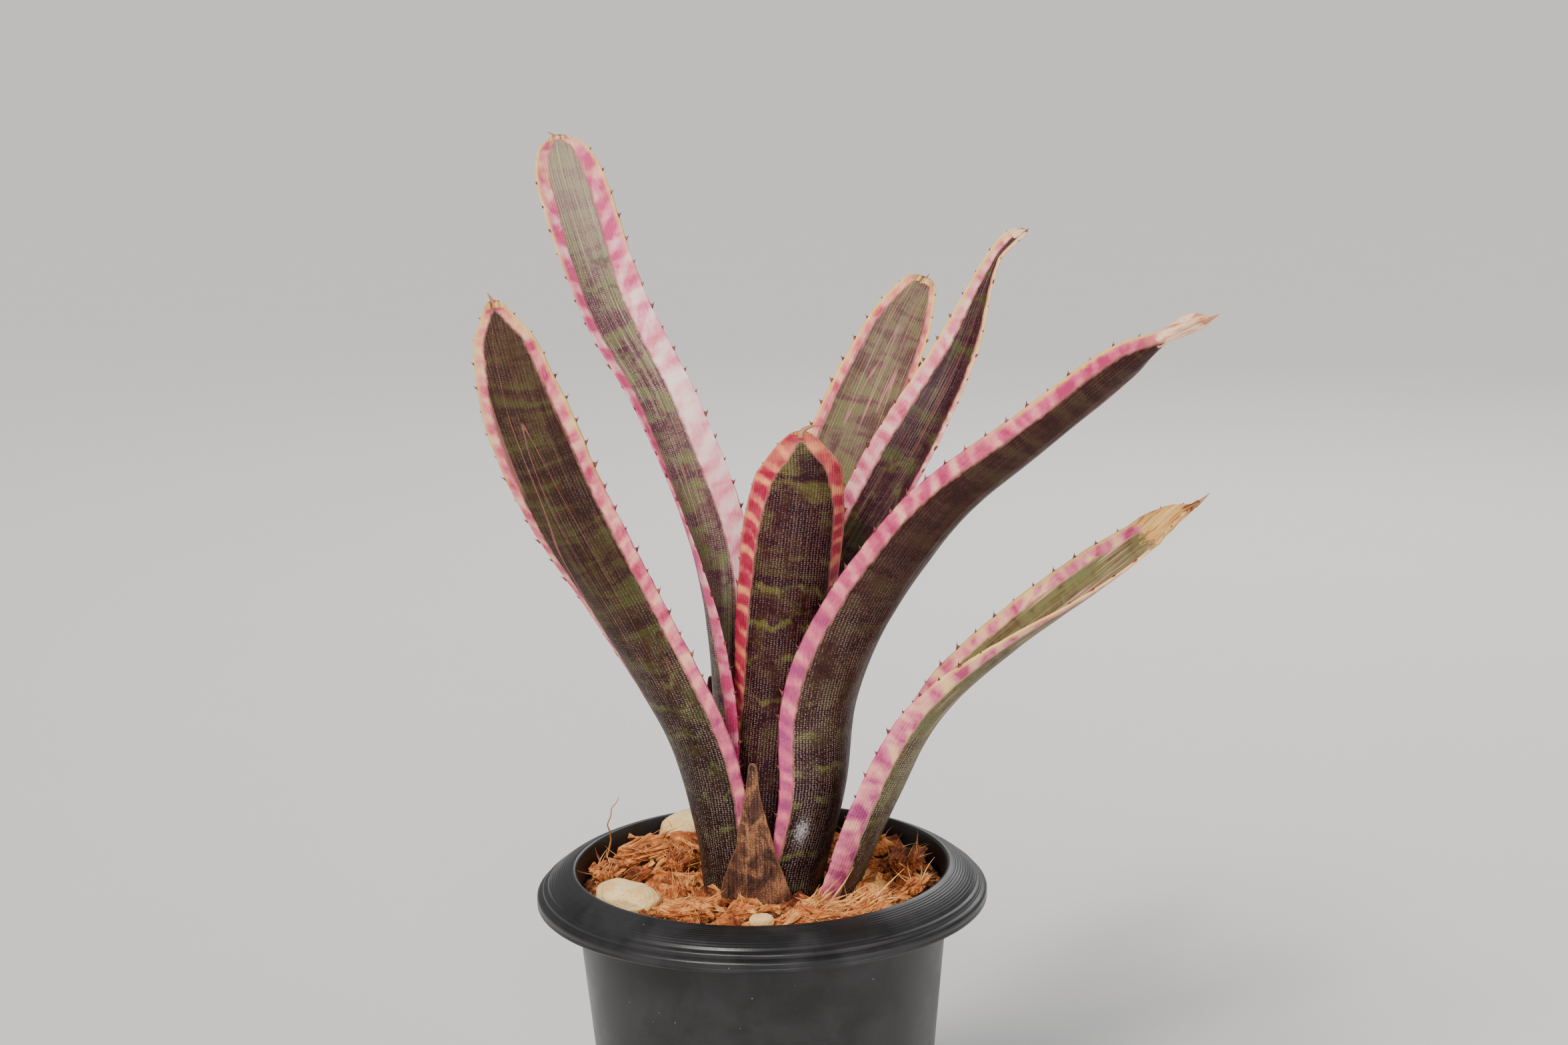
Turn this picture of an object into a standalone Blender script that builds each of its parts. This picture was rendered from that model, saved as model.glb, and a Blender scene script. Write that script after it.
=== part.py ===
"""Potted bromeliad: a young banded bromeliad growing in coconut husk in a ribbed nursery pot.

Every piece is one closed solid in metres, +Z up.  The origin is the centre of the pot's foot.
Lengths below are written in millimetres and turned into metres once, by MM.
"""
import random
from math import cos, pi, radians, sin, sqrt

import bmesh
import bpy
from mathutils import Vector
from mathutils.bvhtree import BVHTree

MM = 0.001

# --- Pot -------------------------------------------------------------------------------------
POT_HEIGHT = 85.0
RIM_RADIUS = 50.0          # outside of the ribbed skirt
MOUTH_RADIUS = 41.2        # inside of the wall at the top
BASE_RADIUS = 34.0         # outside of the wall at the foot
POT_WALL = 0.9
POT_FLOOR = 1.2
RIM_WALL = 1.2
RIM_DROP = 7.6             # lip to the skirt's lower edge
FOOT_CHAMFER = 1.5
DRAIN_COUNT = 6
DRAIN_RADIUS = 3.5
DRAIN_CIRCLE = 22.0
DRAIN_TURN = 13.0           # of the ring of holes, in degrees
POT_SIDES = 60

# --- Growing medium ---------------------------------------------------------------------------
FILL_DEPTH = 6.0           # lip down to the level of the husk around the plant
SOCKET_DEPTH = 9.0         # how deep the leaf bases sit in the husk
TOUCH_GAP = 0.3            # between pieces that rest on each other
SOCKET_GAP = 0.7           # between the leaf bases and the husk around them
HEAP = 1.6                 # height of the low mounds in the husk
BED_SIDES = 60

# --- Plant ------------------------------------------------------------------------------------
LEAF_THICKNESS = 1.0
LEAF_EDGE = 0.55           # share of the thickness that is left at a margin
BRACT_THICKNESS = 0.6
STEM_RADIUS = 4.0
STEM_HEIGHT = 12.0
LEAF_ROWS = 21
LEAF_COLUMNS = 7

FILL_LEVEL = POT_HEIGHT - FILL_DEPTH
SOCKET_FLOOR = FILL_LEVEL - SOCKET_DEPTH
ROOT = TOUCH_GAP - SOCKET_DEPTH      # height of a leaf's lower end, from the husk's level


def sheath(radius, height, wrap, roll=0.0, drift=0.0):
    """A station low on a leaf, where it wraps round the plant's axis by `wrap` degrees each way."""
    return (radius, drift, height, radius * radians(wrap), wrap, roll)


# Each leaf: the direction it grows in, in degrees from +X, and its stations from the root up.
# A station is (outward, sideways, height above the husk, half width, cupping, roll), with the
# last two in degrees.  The innermost leaf comes first.
LEAVES = {
    "leaf_back_narrow": (20, (
        sheath(5.2, ROOT, 95), sheath(6.4, 20, 65), (10.3, 0, 45, 6.8, 50, 5),
        (16.5, 0.5, 64, 7.5, 50, 16), (32, -3, 92, 8.5, 45, 35), (48, -2, 118, 5.6, 42, 40),
        (57, -1, 137, 2.5, 80, 40), (61, -1, 141, 2.5, 70, 40), (65, 0, 143, 0.4, 50, 40))),
    "leaf_centre": (-88, (
        sheath(7, ROOT, 75), sheath(8, 15, 74, drift=1), (9, 4.5, 50, 12, 64, 0),
        (10.5, 8, 80, 12.5, 52, 0), (10, 10, 95, 10.5, 48, 0), (9.6, 10, 101, 6.4, 48, 0),
        (9, 10, 105, 0.4, 50, 0))),
    "leaf_back_right": (45, (
        sheath(7, ROOT, 40), sheath(8.2, 15, 38), (13, 1, 45, 6.5, 38, 0),
        (19.5, 2, 66, 7.5, 40, 8), (28, 0, 91, 10, 36, 22), (43, -2, 117, 8.5, 32, 25),
        (51, -3, 129, 4.5, 40, 25), (53, -3, 131, 0.4, 40, 25))),
    "leaf_tall_left": (158, (
        sheath(9.4, ROOT, 95), sheath(10.2, 15, 76, 10, 1.8), (9, 2, 45, 12, 78, 6),
        (12.5, -2, 77, 10.5, 70, -22), (23.5, -6, 105, 8.8, 54, -38),
        (37.5, -9.5, 128, 8.8, 40, -42), (48, -13, 154, 8.4, 32, -45),
        (50.2, -13.8, 161.5, 6.2, 30, -45), (51, -14, 165, 0.4, 30, -45))),
    "leaf_long_right": (-28, (
        sheath(12.2, ROOT, 64), (14, 0, 5, 14, 66, 0), (19.5, 0, 25, 15.5, 74, 0),
        (22, -0.5, 45, 16, 78, -8), (31, -2.5, 66, 13.2, 68, -20), (48, -4, 89, 10.5, 60, -30),
        (68, -4, 106.5, 8, 58, -36), (86, -3, 122, 6, 62, -45), (95, -3, 129, 2.5, 100, -50),
        (101, -2, 132, 3, 70, -50), (105, -2, 134, 0.4, 60, -50))),
    "leaf_front_left": (222, (
        sheath(12.2, ROOT, 38), (14, 0, 10, 10, 45, 0), (19, -0.5, 35, 10, 46, 10),
        (32.5, -4, 65, 9.5, 40, 28), (46, -6, 90, 10, 30, 38), (56, -6, 112, 9.5, 26, 42),
        (62, -5, 129, 6.8, 30, 45), (63.8, -4.4, 134.5, 4, 30, 45), (65, -4, 139, 0.4, 30, 45))),
    "leaf_low_right": (-20, (
        (17, -0.5, ROOT, 9, 50, 0), (23, -1, 4, 11.5, 56, 0), (31.8, -2, 24, 12.3, 66, 0),
        (42, 0, 43, 12, 76, 5), (57.5, 3, 59, 10.8, 62, 15), (75, 7.5, 73.5, 9.5, 42, 25),
        (86, 12, 82.5, 7, 38, 28), (95, 15, 90, 0.4, 40, 30))),
}

# Short dead bracts at the foot of the plant, in the same form.
BRACTS = {
    "dry_bract_front": (-95, (
        (15, 0, ROOT, 9, 32, 0), (17, 0, 4, 8, 28, 0), (17.2, 0, 13, 4.9, 26, 0),
        (17.2, 0, 23, 2.6, 26, 0), (17, 0, 34, 0.4, 26, 0))),
    "dry_bract_rear": (135, (
        (13, 0, ROOT, 8, 38, 0), (14, 0, 20, 5.5, 38, 0), (15, 0, 34, 3, 40, 0),
        (15, 0, 46, 0.4, 40, 0))),
}

# Husk chips: direction from the plant, share of the way from the plant to the wall, length,
# width, thickness, heading and tilt.
CHIPS = (
    (154, 0.60, 14, 10, 5, 20, 10), (176, 0.92, 8, 8, 4, 75, -5), (160, 0.10, 10, 6, 5, 60, 5),
    (203, 0.10, 8, 5, 4, 100, 4), (236, 0.52, 15, 10, 4, -25, 3), (262, 0.30, 8, 5, 3, 10, 3),
    (9, 0.70, 12, 8, 6, 75, 4), (34, 0.66, 12, 10, 5, 120, -5), (-13, 0.78, 8, 5, 4, 70, 4),
    (-44, 0.58, 12, 9, 4, 60, 4), (-67, 0.56, 13, 8, 4, 15, -4), (66, 0.35, 15, 9, 4, 150, 4),
    (77, 0.92, 13, 9, 4, -13, -4), (-62, 0.05, 7, 5, 3.5, 25, 3),
)

# Pebbles: name, direction, share of the way to the wall, length, width, thickness, heading, tilt.
PEBBLES = (
    ("pebble_front_left", 206, 0.84, 15.5, 10.5, 6.5, -28, -4),
    ("pebble_back_left", 121, 0.93, 13.5, 11, 8, 40, 8),
    ("pebble_front_small", -90, 0.66, 5.5, 4, 3, 5, 0),
)

# --- Colours (linear), roughness ----------------------------------------------------------------
BLACK_PLASTIC = ((0.016, 0.016, 0.017), 0.55)
COIR = ((0.30, 0.115, 0.035), 0.95)
CHIP_BROWN = ((0.36, 0.15, 0.05), 0.9)
LEAF_DARK = ((0.075, 0.05, 0.035), 0.45)
LEAF_GREEN = ((0.16, 0.15, 0.08), 0.45)
LEAF_PINK = ((0.42, 0.20, 0.20), 0.45)
DRY_BROWN = ((0.20, 0.11, 0.06), 0.8)
STEM_GREEN = ((0.20, 0.20, 0.10), 0.6)
PEBBLE_CREAM = ((0.68, 0.56, 0.38), 0.7)


def clear_scene():
    """Start from an empty file."""
    for thing in list(bpy.data.objects):
        bpy.data.objects.remove(thing, do_unlink=True)


def material(name, finish):
    """A Principled material of one colour and roughness."""
    colour, roughness = finish
    result = bpy.data.materials.new(name)
    result.use_nodes = True
    shader = result.node_tree.nodes["Principled BSDF"]
    shader.inputs["Base Color"].default_value = (*colour, 1.0)
    shader.inputs["Roughness"].default_value = roughness
    shader.inputs["Metallic"].default_value = 0.0
    return result


def solid(name, points, faces, finish, smooth=True):
    """One object from points in millimetres and faces that index them."""
    mesh = bpy.data.meshes.new(name)
    mesh.from_pydata([tuple(c * MM for c in p) for p in points], [], faces)
    mesh.validate()
    work = bmesh.new()
    work.from_mesh(mesh)
    bmesh.ops.recalc_face_normals(work, faces=work.faces)
    work.to_mesh(mesh)
    work.free()
    thing = bpy.data.objects.new(name, mesh)
    bpy.context.collection.objects.link(thing)
    mesh.materials.append(material(name + "_finish", finish))
    if smooth:
        mesh.shade_smooth()
        mesh.set_sharp_from_angle(angle=radians(35))
    return thing


def ring_faces(lower, upper, count):
    """Quads between two rings of `count` points that start at indices `lower` and `upper`."""
    return [(lower + i, lower + (i + 1) % count, upper + (i + 1) % count, upper + i)
            for i in range(count)]


def stack_rings(rings, bottom_pole, top_pole):
    """Points and faces of a closed stack of rings, with a pole point at each end."""
    count = len(rings[0])
    points = [bottom_pole] + [p for ring in rings for p in ring] + [top_pole]
    faces = [(0, 1 + (i + 1) % count, 1 + i) for i in range(count)]
    for k in range(len(rings) - 1):
        faces += ring_faces(1 + k * count, 1 + (k + 1) * count, count)
    last = 1 + (len(rings) - 1) * count
    pole = len(points) - 1
    faces += [(last + i, last + (i + 1) % count, pole) for i in range(count)]
    return points, faces


def turn(radius, height, sides):
    """A ring of points round the Z axis."""
    return [(radius * cos(2 * pi * i / sides), radius * sin(2 * pi * i / sides), height)
            for i in range(sides)]


def wall_radius(height):
    """Outside radius of the pot's tapered wall at a height."""
    top = MOUTH_RADIUS + POT_WALL
    return BASE_RADIUS + (top - BASE_RADIUS) * height / POT_HEIGHT


def inner_radius(height):
    """Inside radius of the pot's tapered wall at a height."""
    return wall_radius(height) - POT_WALL


# ---------------------------------------------------------------------------------------- pot
def pot_profile():
    """The turned outline of the pot: out under the foot, up, over the rim and down inside."""
    lip = POT_HEIGHT
    slope_out = RIM_RADIUS - 2.8
    return [
        (BASE_RADIUS - FOOT_CHAMFER, 0.0),
        (wall_radius(FOOT_CHAMFER), FOOT_CHAMFER),
        (wall_radius(lip * 0.5), lip * 0.5),
        (wall_radius(lip - 2.2), lip - 2.2),
        (slope_out - 0.6, lip - 4.2),
        (RIM_RADIUS - RIM_WALL, lip - 6.3),
        (RIM_RADIUS - RIM_WALL, lip - RIM_DROP),
        (RIM_RADIUS, lip - RIM_DROP),
        (RIM_RADIUS, lip - 5.6),
        (RIM_RADIUS - 0.5, lip - 5.0),
        (RIM_RADIUS - 1.3, lip - 4.8),
        (RIM_RADIUS - 1.4, lip - 3.9),
        (RIM_RADIUS - 2.4, lip - 3.6),
        (slope_out, lip - 2.9),
        (MOUTH_RADIUS + 1.6, lip - 0.2),
        (MOUTH_RADIUS + 1.1, lip),
        (MOUTH_RADIUS + 0.4, lip),
        (inner_radius(lip - 0.5), lip - 0.5),
        (inner_radius(lip * 0.5), lip * 0.5),
        (inner_radius(POT_FLOOR), POT_FLOOR),
    ]


def make_pot():
    """The nursery pot, with a ring of drain holes bored through its floor."""
    rings = [turn(radius, height, POT_SIDES) for radius, height in pot_profile()]
    points, faces = stack_rings(rings, (0, 0, 0), (0, 0, POT_FLOOR))
    pot = solid("pot", points, faces, BLACK_PLASTIC)
    bore = POT_FLOOR * 3
    for hole in range(DRAIN_COUNT):
        angle = 2 * pi * hole / DRAIN_COUNT + radians(DRAIN_TURN)
        place = (DRAIN_CIRCLE * cos(angle) * MM, DRAIN_CIRCLE * sin(angle) * MM, POT_FLOOR * MM / 2)
        bpy.ops.mesh.primitive_cylinder_add(vertices=16, radius=DRAIN_RADIUS * MM,
                                            depth=bore * MM, location=place)
        cutter = bpy.context.object
        cutter.name = "drain_cutter_%d" % hole
        cutter.hide_render = True
        cutter.display_type = "WIRE"
        cut = pot.modifiers.new("drain_%d" % hole, "BOOLEAN")
        cut.operation = "DIFFERENCE"
        cut.object = cutter
    return pot


# -------------------------------------------------------------------------------------- leaves
def along(knots, values, where):
    """Smooth curve through `values` at `knots`, read at `where`."""
    k = max(i for i in range(len(knots) - 1) if where >= knots[i] - 1e-9)
    span = knots[k + 1] - knots[k]
    t = min(1.0, (where - knots[k]) / span)
    slopes = []
    for i in (k, k + 1):
        low, high = max(i - 1, 0), min(i + 1, len(knots) - 1)
        slopes.append((values[high] - values[low]) / (knots[high] - knots[low]))
    a, b = values[k], values[k + 1]
    m, n = slopes[0] * span, slopes[1] * span
    return ((2 * t**3 - 3 * t**2 + 1) * a + (t**3 - 2 * t**2 + t) * m
            + (-2 * t**3 + 3 * t**2) * b + (t**3 - t**2) * n)


def blade_sections(direction, stations, thickness):
    """Cross-sections of a leaf from root to tip: for each, its inner and its outer points."""
    out = Vector((cos(radians(direction)), sin(radians(direction)), 0))
    side = Vector((-out.y, out.x, 0))
    up = Vector((0, 0, 1))
    ribs = [out * s[0] + side * s[1] + up * (s[2] + FILL_LEVEL) for s in stations]
    knots = [0.0]
    for k in range(1, len(ribs)):
        knots.append(knots[-1] + (ribs[k] - ribs[k - 1]).length)
    length = knots[-1]
    step = length * 0.002
    sections = []
    for row in range(LEAF_ROWS):
        where = length * (1 - (1 - row / (LEAF_ROWS - 1)) ** 1.3)
        rib = along(knots, ribs, where)
        ahead = along(knots, ribs, min(where + step, length))
        behind = along(knots, ribs, max(where - step, 0.0))
        grow = (ahead - behind).normalized()
        across = (side - grow * side.dot(grow)).normalized()
        inward = grow.cross(across)
        roll = radians(along(knots, [s[5] for s in stations], where))
        across, inward = (across * cos(roll) + inward * sin(roll),
                          inward * cos(roll) - across * sin(roll))
        width = sqrt(max(along(knots, [s[3] ** 2 for s in stations], where), 0.16))
        cup = radians(along(knots, [s[4] for s in stations], where))
        bend = width / cup
        thick = min(thickness, 0.7 * width)
        inner, outer = [], []
        for column in range(LEAF_COLUMNS):
            u = 2 * column / (LEAF_COLUMNS - 1) - 1
            point = rib + across * (bend * sin(cup * u)) + inward * (bend * (1 - cos(cup * u)))
            face = inward * cos(cup * u) - across * sin(cup * u)
            half = 0.5 * thick * (1 - (1 - LEAF_EDGE) * u * u)
            inner.append(point + face * half)
            outer.append(point - face * half)
        if row == 0:
            for point in inner + outer:
                point.z = FILL_LEVEL + ROOT
        sections.append((inner, outer))
    return sections


def make_leaf(name, direction, stations, thickness, finish):
    """A leaf or bract: a cupped, tapering blade of even thickness, closed all round."""
    sections = blade_sections(direction, stations, thickness)
    rings = [inner + outer[::-1] for inner, outer in sections]
    count = len(rings[0])
    points = [p for ring in rings for p in ring]
    faces = []
    for k in range(len(rings) - 1):
        faces += ring_faces(k * count, (k + 1) * count, count)
    last = (len(rings) - 1) * count
    for start in (0, last):
        for i in range(LEAF_COLUMNS - 1):
            faces.append((start + i, start + i + 1, start + count - 2 - i, start + count - 1 - i))
    return solid(name, points, faces, finish)


def make_plant():
    """The leaves, the dead bracts and the short stem that they clasp."""
    finishes = {"leaf_tall_left": LEAF_PINK, "leaf_back_right": LEAF_PINK,
                "leaf_low_right": LEAF_GREEN, "leaf_front_left": LEAF_GREEN}
    blades = [make_leaf(name, *LEAVES[name], LEAF_THICKNESS, finishes.get(name, LEAF_DARK))
              for name in LEAVES]
    blades += [make_leaf(name, *BRACTS[name], BRACT_THICKNESS, DRY_BROWN) for name in BRACTS]
    foot = SOCKET_FLOOR + TOUCH_GAP
    rings = [turn(STEM_RADIUS - 0.4, foot, 20), turn(STEM_RADIUS, foot + 0.6, 20),
             turn(STEM_RADIUS, foot + STEM_HEIGHT * 0.6, 20),
             turn(STEM_RADIUS * 0.7, foot + STEM_HEIGHT * 0.9, 20)]
    points, faces = stack_rings(rings, (0, 0, foot), (0, 0, foot + STEM_HEIGHT))
    blades.append(solid("stem", points, faces, STEM_GREEN))
    return blades


# ------------------------------------------------------------------------------- growing medium
def bed_height(azimuth, share):
    """Height of the husk's surface: low mounds, higher at the left, level at plant and wall."""
    mound = 0.55 + 0.45 * cos(azimuth - radians(160)) + 0.25 * sin(3 * azimuth + 0.6)
    return FILL_LEVEL + HEAP * mound * sin(pi * share)


def socket_radius(blades, azimuth, height):
    """How far the plant reaches from its axis near one direction and height, with the gap."""
    reach = STEM_RADIUS
    for blade in blades:
        for vertex in blade.data.vertices:
            p = vertex.co / MM
            if abs(p.z - height) < SOCKET_DEPTH * 0.5 and p.x * cos(azimuth) + p.y * sin(azimuth) > 0:
                off_line = abs(p.y * cos(azimuth) - p.x * sin(azimuth))
                if off_line < 4.0:
                    reach = max(reach, sqrt(p.x * p.x + p.y * p.y))
    return reach + SOCKET_GAP


def smoothed(ring):
    """The ring of radii, each raised to the largest of itself and its neighbours, then eased."""
    count = len(ring)
    raised = [max(ring[i - 1], ring[i], ring[(i + 1) % count]) for i in range(count)]
    return [max(ring[i], (raised[i - 1] + 2 * raised[i] + raised[(i + 1) % count]) / 4)
            for i in range(count)]


def make_bed(blades):
    """The block of coconut husk: it fills the pot and has a socket that fits round the plant."""
    turns = [2 * pi * i / BED_SIDES for i in range(BED_SIDES)]
    bottom = POT_FLOOR + TOUCH_GAP
    rings = [turn(inner_radius(bottom) - TOUCH_GAP, bottom, BED_SIDES)]
    edge = inner_radius(FILL_LEVEL) - TOUCH_GAP
    mouth = smoothed([socket_radius(blades, a, FILL_LEVEL) for a in turns])
    for share in (0.0, 0.2, 0.45, 0.7, 1.0):
        ring = []
        for a, start in zip(turns, mouth):
            radius = edge + (start - edge) * share
            ring.append((radius * cos(a), radius * sin(a), bed_height(a, share)))
        rings.append(ring)
    for level in (0.5, 1.0):
        height = FILL_LEVEL - SOCKET_DEPTH * level
        radii = smoothed([socket_radius(blades, a, height) for a in turns])
        rings.append([(r * cos(a), r * sin(a), height) for a, r in zip(turns, radii)])
    points, faces = stack_rings(rings, (0, 0, bottom), (0, 0, SOCKET_FLOOR))
    return solid("growing_medium", points, faces, COIR), mouth, edge


def surface_of(thing):
    """A search tree over an object's faces, in metres."""
    work = bmesh.new()
    work.from_mesh(thing.data)
    tree = BVHTree.FromBMesh(work)
    work.free()
    return tree


def height_above(thing, support):
    """How far a loose piece can drop before it meets what lies under it; none if nothing does."""
    down, high = Vector((0, 0, -1)), 1.0
    support_tree, own_tree = surface_of(support), surface_of(thing)
    gaps = []
    for vertex in thing.data.vertices:
        hit = support_tree.ray_cast(Vector((vertex.co.x, vertex.co.y, high)), down)[0]
        if hit:
            gaps.append(vertex.co.z - hit.z)
    for vertex in support.data.vertices:
        below = Vector((vertex.co.x, vertex.co.y, -high))
        hit = own_tree.ray_cast(below, -down)[0]
        if hit and vertex.co.z > SOCKET_FLOOR * MM:
            gaps.append(hit.z - vertex.co.z)
    return min(gaps, default=None)


def settle(thing, supports):
    """Lower a loose piece until it is just clear of the husk or the pieces it lies on."""
    drops = [height_above(thing, support) for support in supports]
    drop = min(d for d in drops if d is not None) - TOUCH_GAP * MM
    for vertex in thing.data.vertices:
        vertex.co.z -= drop
    supports.append(thing)


def ring_spot(azimuth, share, reach, mouth, edge):
    """A place between the plant and the wall for a piece that reaches `reach` from its middle."""
    index = round(azimuth / 360 * BED_SIDES) % BED_SIDES
    nearest, furthest = mouth[index] + reach, edge - reach
    radius = nearest + (furthest - nearest) * share
    return radius * cos(radians(azimuth)), radius * sin(radians(azimuth))


def place_points(points, spot, heading, tilt):
    """Tilt a loose piece, turn it to its heading and move it over its spot."""
    h, t = radians(heading), radians(tilt)
    placed = []
    for x, y, z in points:
        x, z = x * cos(t) - z * sin(t), x * sin(t) + z * cos(t)
        placed.append((spot[0] + x * cos(h) - y * sin(h), spot[1] + x * sin(h) + y * cos(h),
                       FILL_LEVEL + 10 + z))
    return placed


def make_chip(number, chip, supports, mouth, edge):
    """One chip of husk: a rough slab with chewed ends."""
    azimuth, share, length, width, thick, heading, tilt = chip
    rand = random.Random(100 + number)
    work = bmesh.new()
    bmesh.ops.create_grid(work, x_segments=4, y_segments=3, size=0.5)
    bmesh.ops.solidify(work, geom=work.faces[:], thickness=-1.0)
    points = []
    for vertex in work.verts:
        x, y, z = vertex.co.x, vertex.co.y, vertex.co.z - 0.5
        chew = 1 - 0.35 * abs(2 * x) ** 3
        points.append((x * length * rand.uniform(0.88, 1.0), y * width * chew * rand.uniform(0.85, 1.05),
                       z * thick * (1 - 0.3 * abs(2 * x)) * rand.uniform(0.8, 1.1)))
    work.verts.index_update()
    faces = [tuple(v.index for v in face.verts) for face in work.faces]
    work.free()
    spot = ring_spot(azimuth, share, width / 2, mouth, edge)
    placed = place_points(points, spot, heading, tilt)
    settle(solid("husk_chip_%02d" % number, placed, faces, CHIP_BROWN, smooth=False), supports)


def make_pebble(pebble, supports, mouth, edge):
    """One rounded pebble, a little lopsided."""
    name, azimuth, share, length, width, thick, heading, tilt = pebble
    rand = random.Random(name)
    work = bmesh.new()
    bmesh.ops.create_icosphere(work, subdivisions=2, radius=0.5)
    skew = rand.uniform(-0.25, 0.25)
    points = []
    for vertex in work.verts:
        x, y, z = vertex.co
        swell = 1 + skew * x + rand.uniform(-0.03, 0.03)
        points.append((x * length, y * width * swell, z * thick * swell))
    work.verts.index_update()
    faces = [tuple(v.index for v in face.verts) for face in work.faces]
    work.free()
    spot = ring_spot(azimuth, share, width / 2, mouth, edge)
    settle(solid(name, place_points(points, spot, heading, tilt), faces, PEBBLE_CREAM), supports)


def main():
    """Build every piece in place."""
    clear_scene()
    make_pot()
    blades = make_plant()
    bed, mouth, edge = make_bed(blades)
    supports = [bed]
    for number, chip in enumerate(CHIPS, start=1):
        make_chip(number, chip, supports, mouth, edge)
    for pebble in PEBBLES:
        make_pebble(pebble, supports, mouth, edge)


main()
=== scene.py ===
"""Potted bromeliad: banded leaves in coconut husk, in a black nursery pot.

Lengths in the classes below are millimetres; they become metres when a mesh is made.
"""
import logging
import random
from dataclasses import dataclass, field
from enum import Enum
from math import cos, hypot, pi, radians, sin

import bmesh
import bpy
import numpy as np
from mathutils import Matrix, Vector


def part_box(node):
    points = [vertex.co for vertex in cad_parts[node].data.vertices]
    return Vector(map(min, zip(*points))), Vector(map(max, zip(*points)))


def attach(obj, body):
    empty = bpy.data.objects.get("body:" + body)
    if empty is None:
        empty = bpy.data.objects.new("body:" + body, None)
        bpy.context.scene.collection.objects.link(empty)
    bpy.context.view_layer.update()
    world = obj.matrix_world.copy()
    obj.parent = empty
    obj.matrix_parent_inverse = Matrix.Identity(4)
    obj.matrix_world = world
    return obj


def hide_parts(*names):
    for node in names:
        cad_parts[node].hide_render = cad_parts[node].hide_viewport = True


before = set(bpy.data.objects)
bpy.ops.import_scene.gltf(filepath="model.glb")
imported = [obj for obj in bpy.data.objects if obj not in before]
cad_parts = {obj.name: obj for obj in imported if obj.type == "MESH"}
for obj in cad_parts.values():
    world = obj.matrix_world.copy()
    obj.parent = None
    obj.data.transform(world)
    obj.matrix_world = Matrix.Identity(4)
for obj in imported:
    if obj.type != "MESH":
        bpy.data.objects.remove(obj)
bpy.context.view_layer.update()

LOG = logging.getLogger("bromeliad")
MM = 0.001
TURN = 2 * pi

Array = np.ndarray
Thing = bpy.types.Object
Material = bpy.types.Material
Triple = tuple[float, float, float]
Pairs = tuple[tuple[float, float], ...]
Shape = tuple[Array, list]


class Slot(Enum):
    """The finishes of the part, by the names of its material slots."""

    POT = "pot_plastic"
    COIR = "coir"
    CHIP = "husk_chip"
    STEM = "stem_green"
    DRY = "dry_leaf"
    DARK = "leaf_dark"
    PINK = "leaf_pink"
    GREEN = "leaf_green"
    PEBBLE = "pebble"


# ------------------------------------------------------------------------------ noise and curves
def scatter(ix: Array, iy: Array, seed: int) -> Array:
    """Return a repeatable number from 0 to 1 for each pair of whole numbers.

    Args:
        ix: The pairs' first numbers.
        iy: Their second numbers.
        seed: Picks one of many such tables.

    Returns:
        A number for each pair.
    """
    mixed = (ix.astype(np.int64) * 374761393 + iy.astype(np.int64) * 668265263
             + seed * 974634777) & 0xFFFFFFFF
    mixed = ((mixed ^ (mixed >> 13)) * 1274126177) & 0xFFFFFFFF
    return ((mixed ^ (mixed >> 16)) & 0xFFFF) / 65535.0


def ripple(x: Array, y: Array, seed: int = 0) -> Array:
    """Smooth repeatable noise from -1 to 1.

    Args:
        x: First coordinate, in cells of the noise.
        y: Second coordinate, in cells of the noise.
        seed: Picks one of many such noises.

    Returns:
        One value for each place.
    """
    x, y = np.broadcast_arrays(np.asarray(x, float), np.asarray(y, float))
    ix, iy = np.floor(x), np.floor(y)
    fx, fy = x - ix, y - iy
    fx, fy = fx * fx * (3 - 2 * fx), fy * fy * (3 - 2 * fy)
    low = scatter(ix, iy, seed) * (1 - fx) + scatter(ix + 1, iy, seed) * fx
    high = scatter(ix, iy + 1, seed) * (1 - fx) + scatter(ix + 1, iy + 1, seed) * fx
    return (low * (1 - fy) + high * fy) * 2 - 1


def spline(knots: Array, values: Array, where: Array) -> Array:
    """Read a smooth curve through values.

    Args:
        knots: Rising positions of the values.
        values: One value or one vector for each knot.
        where: Positions at which the curve is read.

    Returns:
        The curve's value at each position.
    """
    last = len(knots) - 1
    slopes = np.array([(values[min(i + 1, last)] - values[max(i - 1, 0)])
                       / (knots[min(i + 1, last)] - knots[max(i - 1, 0)])
                       for i in range(last + 1)])
    k = np.clip(np.searchsorted(knots, where, side="right") - 1, 0, last - 1)
    gap = knots[k + 1] - knots[k]
    t = np.clip((where - knots[k]) / gap, 0.0, 1.0)
    if values.ndim > 1:
        gap, t = gap[:, None], t[:, None]
    return ((2 * t**3 - 3 * t**2 + 1) * values[k] + (t**3 - 2 * t**2 + t) * slopes[k] * gap
            + (-2 * t**3 + 3 * t**2) * values[k + 1] + (t**3 - t**2) * slopes[k + 1] * gap)


def unit(vectors: Array) -> Array:
    """Return the vectors at length one."""
    return vectors / np.maximum(np.linalg.norm(vectors, axis=-1, keepdims=True), 1e-12)


# --------------------------------------------------------------------------------------- meshes
def put(name: str, data: bpy.types.ID) -> Thing:
    """Add an object that holds some data to the scene, at the origin.

    Args:
        name: The object's name.
        data: The mesh, light or camera that it holds.

    Returns:
        The object.
    """
    thing = bpy.data.objects.new(name, data)
    bpy.context.scene.collection.objects.link(thing)
    return thing


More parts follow.
